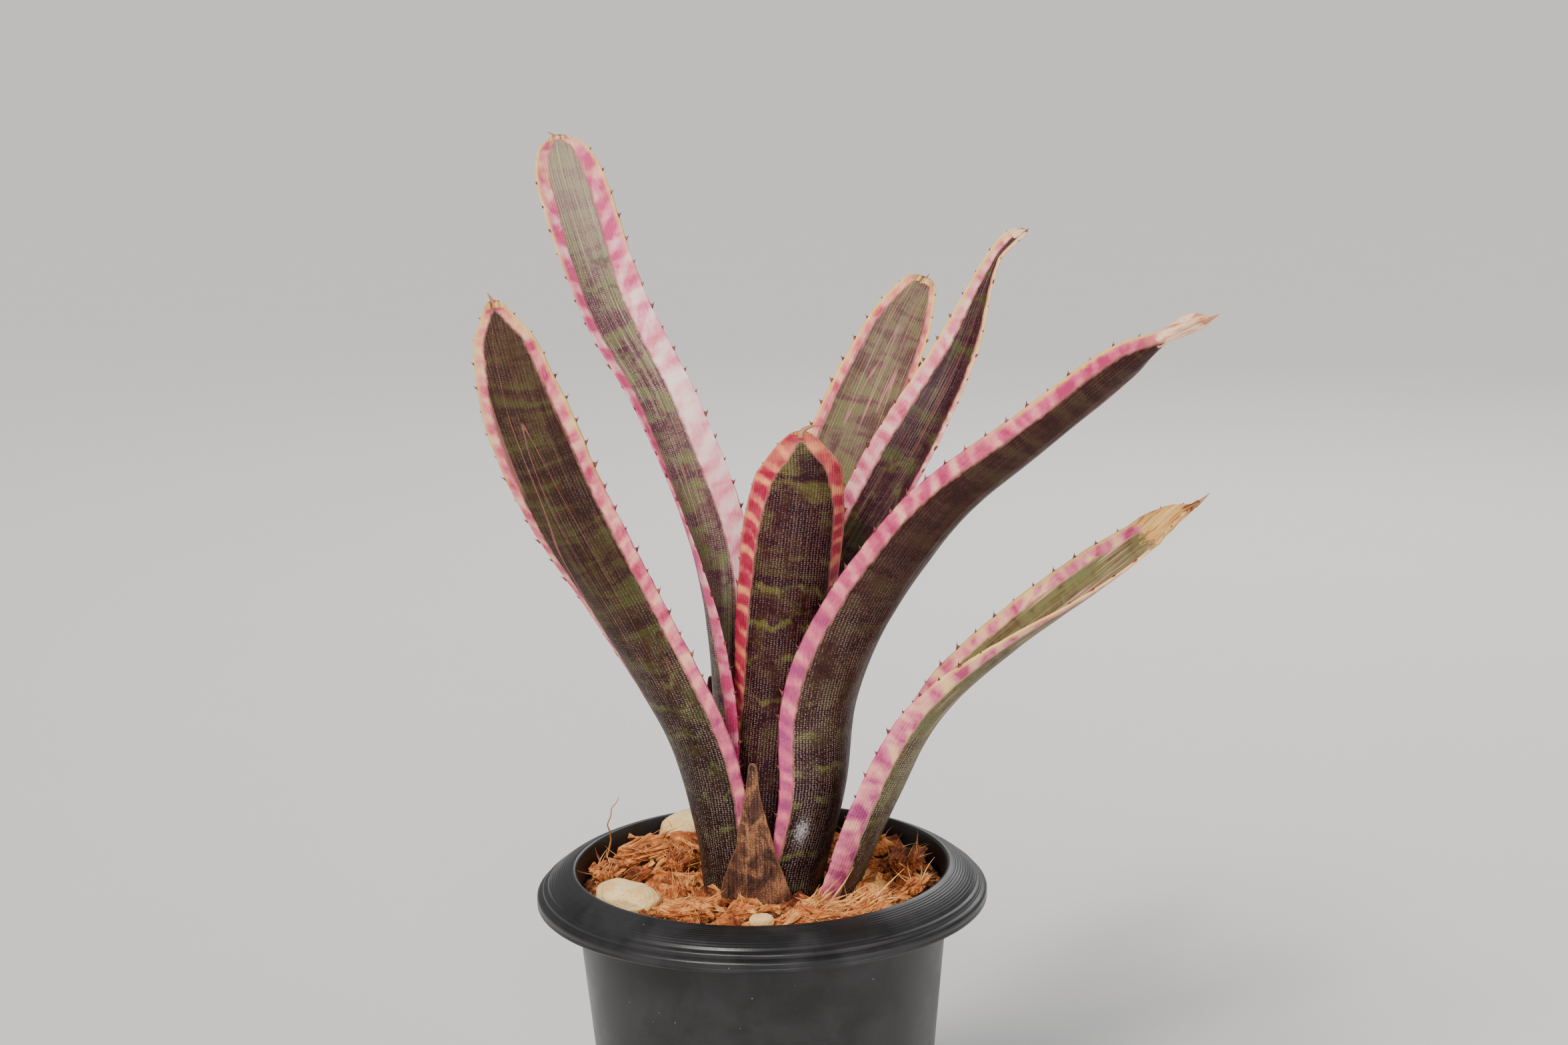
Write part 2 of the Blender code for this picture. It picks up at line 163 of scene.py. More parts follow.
def new_object(name: str, points: Array, faces: list, smooth: bool = True,
               edges: tuple = ()) -> Thing:
    """Make an object from points and faces or edges.

    Args:
        name: The object's name.
        points: Places in millimetres.
        faces: Tuples of point numbers.
        smooth: Whether the faces are shaded smooth.
        edges: Pairs of point numbers.

    Returns:
        The object, at the origin, in the scene.
    """
    mesh = bpy.data.meshes.new(name)
    mesh.from_pydata((np.asarray(points, float) * MM).tolist(), edges, faces)
    if smooth:
        mesh.shade_smooth()
    return put(name, mesh)


def mark(thing: Thing, **layers: Array) -> None:
    """Store numbers or vectors for the points of a mesh, in named layers.

    Args:
        thing: The mesh's object.
        **layers: The values, by the layer's name.
    """
    for name, values in layers.items():
        values = np.asarray(values, np.float32)
        vector = values.ndim > 1
        layer = thing.data.attributes.new(name, "FLOAT_VECTOR" if vector else "FLOAT", "POINT")
        layer.data.foreach_set("vector" if vector else "value", values.ravel())


def tidy_normals(thing: Thing, merge: float = 0.0) -> None:
    """Merge doubled points and turn faces outwards.

    Args:
        thing: The mesh's object.
        merge: How near doubled points lie in millimetres, or 0 to keep them.
    """
    work = bmesh.new()
    work.from_mesh(thing.data)
    if merge:
        bmesh.ops.remove_doubles(work, verts=work.verts, dist=merge * MM)
    bmesh.ops.recalc_face_normals(work, faces=work.faces)
    work.to_mesh(thing.data)
    work.free()


def band(first: int, second: int, count: int) -> list:
    """Return the faces between two closed rings, by each ring's first point number."""
    return [(first + i, first + (i + 1) % count, second + (i + 1) % count, second + i)
            for i in range(count)]


def stack(rings: list[Array], foot: Triple, top: Triple) -> Shape:
    """Close a stack of rings, the lowest first, with a point below and a point above.

    Args:
        rings: Each ring's points.
        foot: The point below.
        top: The point above.

    Returns:
        The points and the faces.
    """
    count, last = len(rings[0]), 1 + (len(rings) - 1) * len(rings[0])
    points = np.concatenate([[foot], *rings, [top]])
    faces = [(0, 1 + (i + 1) % count, 1 + i) for i in range(count)]
    for low in range(1, last, count):
        faces += band(low, low + count, count)
    return points, faces + [(last + i, last + (i + 1) % count, last + count) for i in range(count)]


def tube(path: Array, radii: Array, sides: int) -> Shape:
    """Make a closed tube that follows a path.

    Args:
        path: Points in millimetres.
        radii: The tube's radius at each point.
        sides: How many sides it has.

    Returns:
        The tube's points and faces.
    """
    ahead = unit(np.gradient(path, axis=0))
    normal = np.cross(ahead[0], (0.3, 0.2, 0.93))
    turns = np.arange(sides)[:, None] * TURN / sides
    points, faces = [], []
    for place, heading, radius in zip(path, ahead, radii):
        normal = unit(normal - heading * normal.dot(heading))
        points.append(place + radius * (np.cos(turns) * normal
                                        + np.sin(turns) * np.cross(heading, normal)))
    last = (len(path) - 1) * sides
    for low in range(0, last, sides):
        faces += band(low, low + sides, sides)
    faces += [tuple(range(sides))[::-1], tuple(range(last, last + sides))]
    return np.concatenate(points), faces


def join_meshes(name: str, things: list[Thing]) -> Thing:
    """Put several objects' meshes, all of one material, into one new object and remove them.

    Args:
        name: The new object's name.
        things: The objects.

    Returns:
        The new object.
    """
    work = bmesh.new()
    for thing in things:
        work.from_mesh(thing.data)
    mesh = bpy.data.meshes.new(name)
    work.to_mesh(mesh)
    work.free()
    mesh.materials.append(things[0].data.materials[0])
    for thing in things:
        bpy.data.objects.remove(thing)
    return put(name, mesh)


def baked(thing: Thing, name: str) -> bpy.types.Mesh:
    """Make a mesh of an object with its modifiers applied.

    Args:
        thing: The object.
        name: The mesh's name.

    Returns:
        The mesh.
    """
    thing.update_tag()
    bpy.context.view_layer.update()
    ready = thing.evaluated_get(bpy.context.evaluated_depsgraph_get())
    mesh = bpy.data.meshes.new_from_object(ready)
    mesh.name = name
    return mesh


def settle(thing: Thing, slot: Slot, *replaced: str, skin: Material | None = None) -> None:
    """Dress a piece, attach it to the root, hide the solids it stands for and log its finish.

    Args:
        thing: The piece.
        slot: Its finish.
        *replaced: The part's solids that it stands for.
        skin: Its material, where the mesh has none yet.
    """
    if skin:
        thing.data.materials.append(skin)
    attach(thing, "root")
    if replaced:
        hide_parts(*replaced)
    LOG.info("%s: %d faces, finish %s", thing.name, len(thing.data.polygons), slot.value)


# ----------------------------------------------------------------------------------- node trees
class Wire:
    """One output of a node, which can be reckoned with like a number."""

    def __init__(self, net: "Network", socket: bpy.types.NodeSocket) -> None:
        """Keep the output and the tree under construction."""
        self.net, self.socket = net, socket

    def __add__(self, other: object) -> "Wire":
        """Add."""
        return self.net.sum("ADD", self, other)

    def __sub__(self, other: object) -> "Wire":
        """Take away."""
        return self.net.sum("SUBTRACT", self, other)

    def __mul__(self, other: object) -> "Wire":
        """Multiply."""
        return self.net.sum("MULTIPLY", self, other)

    def __truediv__(self, other: object) -> "Wire":
        """Divide."""
        return self.net.sum("DIVIDE", self, other)


class Network:
    """A node tree under construction; an input takes a wire or a plain value."""

    def __init__(self, tree: bpy.types.NodeTree) -> None:
        """Keep the tree that the nodes go into."""
        self.tree = tree

    def feed(self, socket: bpy.types.NodeSocket, value: object) -> None:
        """Link a wire to a socket, or set the socket's own value.

        Args:
            socket: The input.
            value: The wire or the value; a colour may leave out its alpha.
        """
        if isinstance(value, Wire):
            self.tree.links.new(value.socket, socket)
        elif isinstance(value, tuple) and len(value) == 3 and socket.type == "RGBA":
            socket.default_value = (*value, 1.0)
        else:
            socket.default_value = value

    def make(self, kind: str, values: dict, output: int | str = 0, **settings: object) -> Wire:
        """Add a node.

        Args:
            kind: The node's type.
            values: What its inputs are fed, by name or number.
            output: The output to return, by name or number.
            **settings: The node's own settings, which come before its inputs.

        Returns:
            The output.
        """
        made = self.tree.nodes.new(kind)
        for key, value in settings.items():
            setattr(made, key, value)
        for key, value in values.items():
            self.feed(made.inputs[key], value)
        return Wire(self, made.outputs[output])

    def sum(self, operation: str, a: object, b: object = 0.0) -> Wire:
        """Work out one step of arithmetic on numbers."""
        return self.make("ShaderNodeMath", {0: a, 1: b}, operation=operation)

    def span(self, value: object, low: object, high: object, start: object = 0.0,
             end: object = 1.0) -> Wire:
        """Ease a value from one range to another.

        Args:
            value: What is eased.
            low: Where it starts.
            high: Where it ends.
            start: The result at `low` and before.
            end: The result at `high` and beyond.

        Returns:
            The result.
        """
        return self.make("ShaderNodeMapRange", {"Value": value, "From Min": low, "From Max": high,
                                                "To Min": start, "To Max": end},
                         interpolation_type="SMOOTHSTEP")

    def vector(self, x: object, y: object, z: object = 0.0) -> Wire:
        """Join three numbers into a vector."""
        return self.make("ShaderNodeCombineXYZ", {0: x, 1: y, 2: z})

    def split(self, value: Wire) -> list[Wire]:
        """Return a vector's three numbers."""
        node = self.make("ShaderNodeSeparateXYZ", {0: value}).socket.node
        return [Wire(self, output) for output in node.outputs]

    def reckon(self, operation: str, values: dict, output: int | str = 0) -> Wire:
        """Work out one step of arithmetic on vectors."""
        return self.make("ShaderNodeVectorMath", values, output, operation=operation)

    def noise(self, where: object, scale: float = 1.0, detail: float = 2.0, rough: float = 0.5,
              warp: float = 0.0) -> Wire:
        """Read noise of about 0 to 1 at a place."""
        return self.make("ShaderNodeTexNoise", {"Vector": where, "Scale": scale, "Detail": detail,
                                                "Roughness": rough, "Distortion": warp})


class Finish(Network):
    """A material under construction, with one Principled shader."""

    def __init__(self, name: str) -> None:
        """Start an empty material of that name.

        Args:
            name: The material's name.
        """
        self.material = bpy.data.materials.new(name)
        self.material.use_nodes = True
        super().__init__(self.material.node_tree)
        self.tree.nodes.clear()
        skin = self.make("ShaderNodeBsdfPrincipled", {})
        self.shader = skin.socket.node.inputs
        output = self.tree.nodes.new("ShaderNodeOutputMaterial")
        self.feed(output.inputs[0], skin)

    def read(self, name: str, output: str = "Fac") -> Wire:
        """Read a number, or the output "Vector", stored on the piece."""
        return self.make("ShaderNodeAttribute", {}, output, attribute_name=name,
                         attribute_type="GEOMETRY")

    def place(self) -> Wire:
        """Return the place on the piece in millimetres."""
        return self.stretch(self.make("ShaderNodeTexCoord", {}, "Object"), (1 / MM,) * 3)

    def stretch(self, where: object, scale: Triple) -> Wire:
        """Scale a place."""
        return self.make("ShaderNodeMapping", {"Vector": where, "Scale": scale})

    def cells(self, where: object, loose: float, output: str = "Distance") -> Wire:
        """Read a flat cell pattern: distance to a cell's middle, or its own random colour.

        Args:
            where: The place.
            loose: How irregular the cells are, from 0 to 1.
            output: Distance, or Color.

        Returns:
            The chosen output.
        """
        return self.make("ShaderNodeTexVoronoi", {"Vector": where, "Scale": 1.0,
                                                  "Randomness": loose}, output,
                         voronoi_dimensions="2D")

    def specks(self, where: object, scale: float, size: float) -> Wire:
        """Return scattered round specks, 1 inside a speck."""
        near = self.make("ShaderNodeTexVoronoi", {"Vector": where, "Scale": scale}, "Distance")
        return self.span(near, size, size * 0.4)

    def mix(self, share: object, first: object, second: object, mode: str = "MIX") -> Wire:
        """Mix two colours."""
        return self.make("ShaderNodeMix", {0: share, 6: first, 7: second}, 2, data_type="RGBA",
                         blend_type=mode)

    def ramp(self, value: object, stops: tuple[tuple[float, Triple], ...]) -> Wire:
        """Turn a value into a colour by stops of (value, colour).

        Args:
            value: The value.
            stops: Rising values, each with its colour.

        Returns:
            The colour.
        """
        made = self.make("ShaderNodeValToRGB", {0: value})
        points = made.socket.node.color_ramp.elements
        while len(points) < len(stops):
            points.new(0.5)
        for point, (where, colour) in zip(points, stops):
            point.position, point.color = where, (*colour, 1.0)
        return made

    def bump(self, height: object, depth: float) -> None:
        """Raise the surface by a height of 0 to 1 times a depth in millimetres."""
        self.feed(self.shader["Normal"], self.make(
            "ShaderNodeBump", {"Height": height, "Distance": depth * MM, "Strength": 1.0}))

    def dress(self, colour: object, roughness: object, **constants: float) -> Material:
        """Feed the shader and return the material.

        Args:
            colour: The base colour.
            roughness: The roughness.
            **constants: Further sockets of the shader, with underscores for spaces.

        Returns:
            The finished material.
        """
        for key, value in {"Base_Color": colour, "Roughness": roughness, **constants}.items():
            self.feed(self.shader[key.replace("_", " ")], value)
        return self.material


class Growth(Network):
    """A geometry node tree under construction, with named inputs and one for the material."""

    def __init__(self, name: str, **inputs: float) -> None:
        """Start a tree.

        Args:
            name: The tree's name.
            **inputs: Its inputs' first values, with underscores for spaces in their names; a
                whole number makes an integer input.
        """
        super().__init__(bpy.data.node_groups.new(name, "GeometryNodeTree"))
        face = self.tree.interface
        for way in ("INPUT", "OUTPUT"):
            face.new_socket("Geometry", in_out=way, socket_type="NodeSocketGeometry")
        self.keys = {}
        for key, value in {**inputs, "Material": None}.items():
            kind = {int: "Int", float: "Float"}.get(type(value), "Material")
            made = face.new_socket(key.replace("_", " "), in_out="INPUT",
                                   socket_type="NodeSocket" + kind)
            if value is not None:
                made.default_value = value
            self.keys[key] = made.identifier
        self.entry = self.tree.nodes.new("NodeGroupInput")

    def given(self, title: str) -> Wire:
        """Return a named input."""
        return Wire(self, self.entry.outputs[title])

    def stored(self, name: str, kind: str = "FLOAT") -> Wire:
        """Read a number or vector stored on the geometry."""
        return self.make("GeometryNodeInputNamedAttribute", {"Name": name}, data_type=kind)

    def random(self, low: object, high: object, salt: int) -> Wire:
        """Return a random number for each element, which depends on the Seed input.

        Args:
            low: The least number.
            high: The greatest number.
            salt: Tells this draw from the tree's others.

        Returns:
            The number.
        """
        return self.make("FunctionNodeRandomValue",
                         {2: low, 3: high, "Seed": self.given("Seed") + salt}, 1,
                         data_type="FLOAT")

    def random_turn(self, reach: Triple, salt: int) -> Wire:
        """Return a random rotation for each element.

        Args:
            reach: The most degrees about each axis.
            salt: Tells this draw from the tree's others.

        Returns:
            The rotation.
        """
        turn = self.make("FunctionNodeRandomValue",
                         {0: tuple(radians(-angle) for angle in reach),
                          1: tuple(radians(angle) for angle in reach),
                          "Seed": self.given("Seed") + salt}, data_type="FLOAT_VECTOR")
        return self.make("FunctionNodeEulerToRotation", {0: turn})

    def aligned(self, axis: str, toward: object, pivot: str = "AUTO", **start: object) -> Wire:
        """Return a rotation, from `Rotation` if given, that turns an axis toward a vector."""
        return self.make("FunctionNodeAlignRotationToVector", {"Vector": toward, **start},
                         axis=axis, pivot_axis=pivot)

    def along_grain(self, reach: Triple, salt: int) -> Wire:
        """Return a rotation along the ground's grain, and a random turn off it.

        Args:
            reach: The most degrees about each axis.
            salt: Tells this draw from the tree's others.

        Returns:
            The rotation.
        """
        heading = self.aligned("X", self.stored("grain", "FLOAT_VECTOR"))
        return self.make("FunctionNodeRotateRotation",
                         {0: heading, 1: self.random_turn(reach, salt)})

    def sown(self, clearance: float) -> Wire:
        """Scatter points over loose ground, off the wall.

        Args:
            clearance: The least distance from the wall, by share of the Length input.

        Returns:
            The points.
        """
        clear = self.sum("GREATER_THAN", self.stored("inset"),
                         self.given("Length") * (clearance / MM))
        return self.make("GeometryNodeDistributePointsOnFaces",
                         {"Mesh": self.given("Geometry"), "Seed": self.given("Seed"),
                          "Density": self.given("Density") * clear * self.stored("loose")},
                         "Points", distribute_method="RANDOM")

    def laid(self, points: Wire, shape: Wire, turn: Wire, size: Wire) -> Wire:
        """Set a copy of a shape on every point, turned and scaled."""
        return self.make("GeometryNodeInstanceOnPoints",
                         {"Points": points, "Instance": shape, "Rotation": turn, "Scale": size})

    def store(self, geometry: object, name: str, value: object, kind: str, domain: str) -> Wire:
        """Store a value on the geometry under a name.

        Args:
            geometry: The geometry.
            name: The layer's name.
            value: The value.
            kind: The value's type.
            domain: What each value belongs to.

        Returns:
            The geometry with its new layer.
        """
        return self.make("GeometryNodeStoreNamedAttribute",
                         {"Geometry": geometry, "Name": name, "Value": value},
                         data_type=kind, domain=domain)

    def finish(self, geometry: object, smooth: bool = True) -> "Growth":
        """Close the tree: make the instances real, shade them and give them their material.

        Args:
            geometry: What the tree made.
            smooth: Whether it is shaded smooth.

        Returns:
            The tree itself.
        """
        real = self.make("GeometryNodeRealizeInstances", {0: geometry})
        soft = self.make("GeometryNodeSetShadeSmooth", {0: real, "Shade Smooth": smooth})
        dressed = self.make("GeometryNodeSetMaterial",
                            {"Geometry": soft, "Material": self.given("Material")})
        self.feed(self.tree.nodes.new("NodeGroupOutput").inputs[0], dressed)
        return self

    def grow(self, base: Thing, name: str, **values: object) -> Thing:
        """Run the tree on an object and return the result as a plain new object.

        Args:
            base: The object that the tree reads.
            name: The new piece's name.
            **values: The tree's inputs, with underscores for spaces.

        Returns:
            The new object.
        """
        modifier = base.modifiers.new(self.tree.name, "NODES")
        modifier.node_group = self.tree
        for title, value in values.items():
            modifier[self.keys[title]] = value
        mesh = baked(base, name)
        mesh.materials.clear()
        mesh.materials.append(values["Material"])
        mesh.polygons.foreach_set("material_index", [0] * len(mesh.polygons))
        base.modifiers.remove(modifier)
        return put(name, mesh)


# ------------------------------------------------------------------------------------- finishes
@dataclass(frozen=True)
class PotPlastic:
    """Black satin plastic with fine turned lines and a little dust."""

    tone: Triple = (0.0080, 0.0078, 0.0082)
    worn: Triple = (0.022, 0.021, 0.022)
    dust: Triple = (0.34, 0.31, 0.28)
    line_pitch: float = 0.33
    relief: float = 0.055

    def material(self) -> Material:
        """Build the plastic.

        Returns:
            The finished material.
        """
        mat = Finish("pot_satin_plastic")
        where = mat.place()
        x, y, z = mat.split(where)
        radius = mat.sum("SQRT", x * x + y * y)
        turned = mat.vector((radius + z) / self.line_pitch, radius * 0.2)
        lines = mat.noise(turned, 1.0, 3.0, 0.6)
        smudge = mat.noise(where, 0.09, 3.0, 0.55, 0.4)
        specks = mat.specks(where, 0.36, 0.075) * mat.span(mat.noise(where, 0.06), 0.54, 0.66)
        colour = mat.mix(mat.span(smudge + lines * 0.25, 0.45, 0.85), self.tone, self.worn)
        rough = mat.span(smudge, 0.3, 0.7, 0.30, 0.42) + specks * 0.3 + (lines - 0.5) * 0.16
        mat.bump(lines * 0.8 + mat.noise(where, 3.2) * 0.25 + specks * 0.6, self.relief)
        return mat.dress(mat.mix(specks * 0.7, colour, self.dust), rough, Specular_IOR_Level=0.40)


@dataclass(frozen=True)
class HuskFinish:
    """Torn coconut husk: strands that run with the piece, from dark red-brown to pale orange."""

    name: str = "husk"
    dark: Triple = (0.085, 0.017, 0.006)
    warm: Triple = (0.31, 0.076, 0.020)
    light: Triple = (0.66, 0.225, 0.058)
    pale: Triple = (0.89, 0.50, 0.16)
    strand_pitch: float = 0.70
    relief: float = 0.60

    def material(self) -> Material:
        """Build the husk; it reads `local`, the place along the strands, and `tint`.

        Returns:
            The finished material.
        """
        mat = Finish(self.name)
        local, rate = mat.read("local", "Vector"), 1 / self.strand_pitch
        strands = mat.noise(mat.stretch(local, (0.12, rate, rate)), 1.0, 3.0, 0.62, 0.5)
        fine = mat.noise(mat.stretch(local, (0.4, 3.6, 3.6)))
        patch = mat.noise(local, 0.30, 3.0, 0.6, 0.6)
        level = mat.read("tint") * 0.50 + strands * 0.95 + patch * 0.95 + fine * 0.42 - 0.84
        colour = mat.ramp(level, ((0.20, self.dark), (0.42, self.warm), (0.70, self.light),
                                  (0.95, self.pale)))
        # Painted shade: the colour darkens towards the dark tone in the low gaps between strands,
        # where the bump is lowest.
        strand_gap_shade = mat.span(strands, 0.42, 0.30) * 0.75
        mat.bump(strands * 0.9 + fine * 0.5, self.relief)
        return mat.dress(mat.mix(strand_gap_shade, colour, self.dark), 0.86, Specular_IOR_Level=0.25)


@dataclass(frozen=True)
class FibreFinish:
    """Loose husk fibre: thin, pale orange to brown."""

    brown: Triple = (0.36, 0.095, 0.022)
    pale: Triple = (0.90, 0.47, 0.16)
    relief: float = 0.03

    def material(self) -> Material:
        """Build the fibre; it reads `tint`.

        Returns:
            The finished material.
        """
        mat = Finish("husk_fibre")
        level = mat.read("tint") * 0.75 + (mat.noise(mat.place(), 0.9) - 0.35) * 0.6
        mat.bump(mat.noise(mat.place(), 9.0, 1.0), self.relief)
        return mat.dress(mat.ramp(level, ((0.05, self.brown), (0.85, self.pale))), 0.62,
                         Specular_IOR_Level=0.35)


@dataclass(frozen=True)
class PebbleFinish:
    """Cream stone with rusty specks, shallow pits and a chalky skin."""

    cream: Triple = (0.86, 0.54, 0.20)
    pale: Triple = (0.95, 0.72, 0.35)
    ochre: Triple = (0.52, 0.30, 0.12)
    rust: Triple = (0.22, 0.085, 0.035)
    relief: float = 0.22

    def material(self) -> Material:
        """Build the stone.

        Returns:
            The finished material.
        """
        mat = Finish("pebble_stone")
        where = mat.place()
        broad = mat.noise(where, 0.16, 4.0, 0.6, 0.8)
        fine = mat.noise(where, 1.6, 3.0, 0.6)
        colour = mat.mix(mat.span(broad, 0.38, 0.64), self.cream, self.pale)
        stain = mat.span(broad, 0.60, 0.72) * mat.span(fine, 0.42, 0.62)
        colour = mat.mix(stain * 0.55, colour, self.ochre)
        rust = mat.specks(where, 0.95, 0.20) * mat.span(mat.noise(where, 0.30), 0.48, 0.60)
        pits = mat.specks(where, 1.5, 0.26)
        mat.bump(fine + broad * 0.6 - pits * 0.5, self.relief)
        return mat.dress(mat.mix(rust, colour, self.rust), mat.span(fine, 0.3, 0.7, 0.60, 0.78))


@dataclass(frozen=True)
class ThornFinish:
    """Marginal thorns and end spines: dark red-brown, paler and drier towards the point."""

    dark: Triple = (0.085, 0.012, 0.014)
    warm: Triple = (0.30, 0.060, 0.045)
    spine: Triple = (0.44, 0.17, 0.065)
    relief: float = 0.05

    def material(self) -> Material:
        """Build the thorn's skin; it reads `spine`, which is 1 on the end spine.

        Returns:
            The finished material.
        """
        mat = Finish("thorn_horn")
        level = mat.noise(mat.place(), 0.7, 2.0, 0.6)
        mat.bump(mat.noise(mat.place(), 4.0), self.relief)
        colour = mat.mix(mat.span(level, 0.4, 0.62), self.dark, self.warm)
        return mat.dress(mat.mix(mat.read("spine"), colour, self.spine), 0.42)


@dataclass(frozen=True)
class StemFinish:
    """Short green-brown stem with corky leaf scars."""

    green: Triple = (0.13, 0.13, 0.05)
    cork: Triple = (0.19, 0.10, 0.05)
    relief: float = 0.25

    def material(self) -> Material:
        """Build the stem's skin.

        Returns:
            The finished material.
        """
        mat = Finish("stem_skin")
        where = mat.place()
        rings = mat.noise(mat.stretch(where, (0.15, 0.15, 1.3)), 1.0, 3.0, 0.6, 0.3)
        fine = mat.noise(where, 2.2)
        mat.bump(rings + fine * 0.4, self.relief)
        return mat.dress(mat.mix(mat.span(rings, 0.42, 0.6), self.green, self.cork),
                         mat.span(fine, 0.3, 0.7, 0.55, 0.8))


class BladeSkin(Finish):
    """A blade's material under construction, with what the blade stores already read.

    Places across and along the blade are millimetres from its midrib and its root; `spread` is
    the place across it from -1 to 1 and `share` the place along it from 0 to 1.
    """

    def __init__(self, name: str, length: float, seed: float = 0.0) -> None:
        """Start the material of a blade.

        Args:
            name: The material's name.
            length: The blade's length in millimetres.
            seed: Picks its patterns.
        """
        super().__init__(name)
        self.seed = seed
        self.across, self.along, self.spread = self.split(self.read("blade", "Vector"))
        self.share = self.along / length
        self.inner, self.edge, self.tip = (self.read(key) for key in ("inner", "edge", "tip"))

    def sheet(self, across: float, along: float, layer: float = 0.0) -> Wire:
        """Return the place on the blade laid flat, in cells, by cells for each millimetre."""
        return self.vector(self.across * across, self.along * along, self.seed + layer)

    def fan(self, across: float, along: float, layer: float = 0.0) -> Wire:
        """Return the place on the blade, with cells that narrow as the blade does."""
        return self.vector(self.spread * across, self.along * along, self.seed + layer)

    def weave(self, across: float, along: float, layer: float = 0.0, *noise: float) -> Wire:
        """Read noise on the blade laid flat, with the noise's detail, roughness and warp."""
        return self.noise(self.sheet(across, along, layer), 1.0, *noise)


@dataclass(frozen=True)
class BractFinish:
    """Dead papery bract: veined brown with pale speckle and a darker foot."""

    name: str = "dry_bract"
    dark: Triple = (0.020, 0.006, 0.004)
    brown: Triple = (0.085, 0.026, 0.011)
    tan: Triple = (0.27, 0.105, 0.040)
    pale: Triple = (0.58, 0.40, 0.24)
    length: float = 40.0
    relief: float = 0.16

    def material(self) -> Material:
        """Build the papery skin.

        Returns:
            The finished material.
        """
        mat = BladeSkin(self.name, self.length)
        veins = mat.weave(2.0, 0.07, 0.0, 3.0, 0.6)
        cloud = mat.weave(0.26, 0.17, 3.0, 4.0, 0.62, 0.8)
        level = cloud * 1.1 + veins * 0.55 - mat.span(mat.share, 0.75, 1.0) * 0.12 - 0.26
        colour = mat.ramp(level, ((0.40, self.dark), (0.56, self.brown), (0.74, self.tan)))
        dots = mat.span(mat.cells(mat.sheet(1.6, 1.8), 0.6), 0.34, 0.12)
        speckle = dots * mat.span(cloud, 0.40, 0.60, 0.10, 0.8)
        colour = mat.mix(speckle * 0.42, colour, self.pale)
        colour = mat.mix(mat.span(mat.edge, 0.6, 0.1) * 0.5, colour, self.tan)
        mat.bump(veins + cloud * 0.8, self.relief)
        return mat.dress(colour, 0.72, Specular_IOR_Level=0.35)


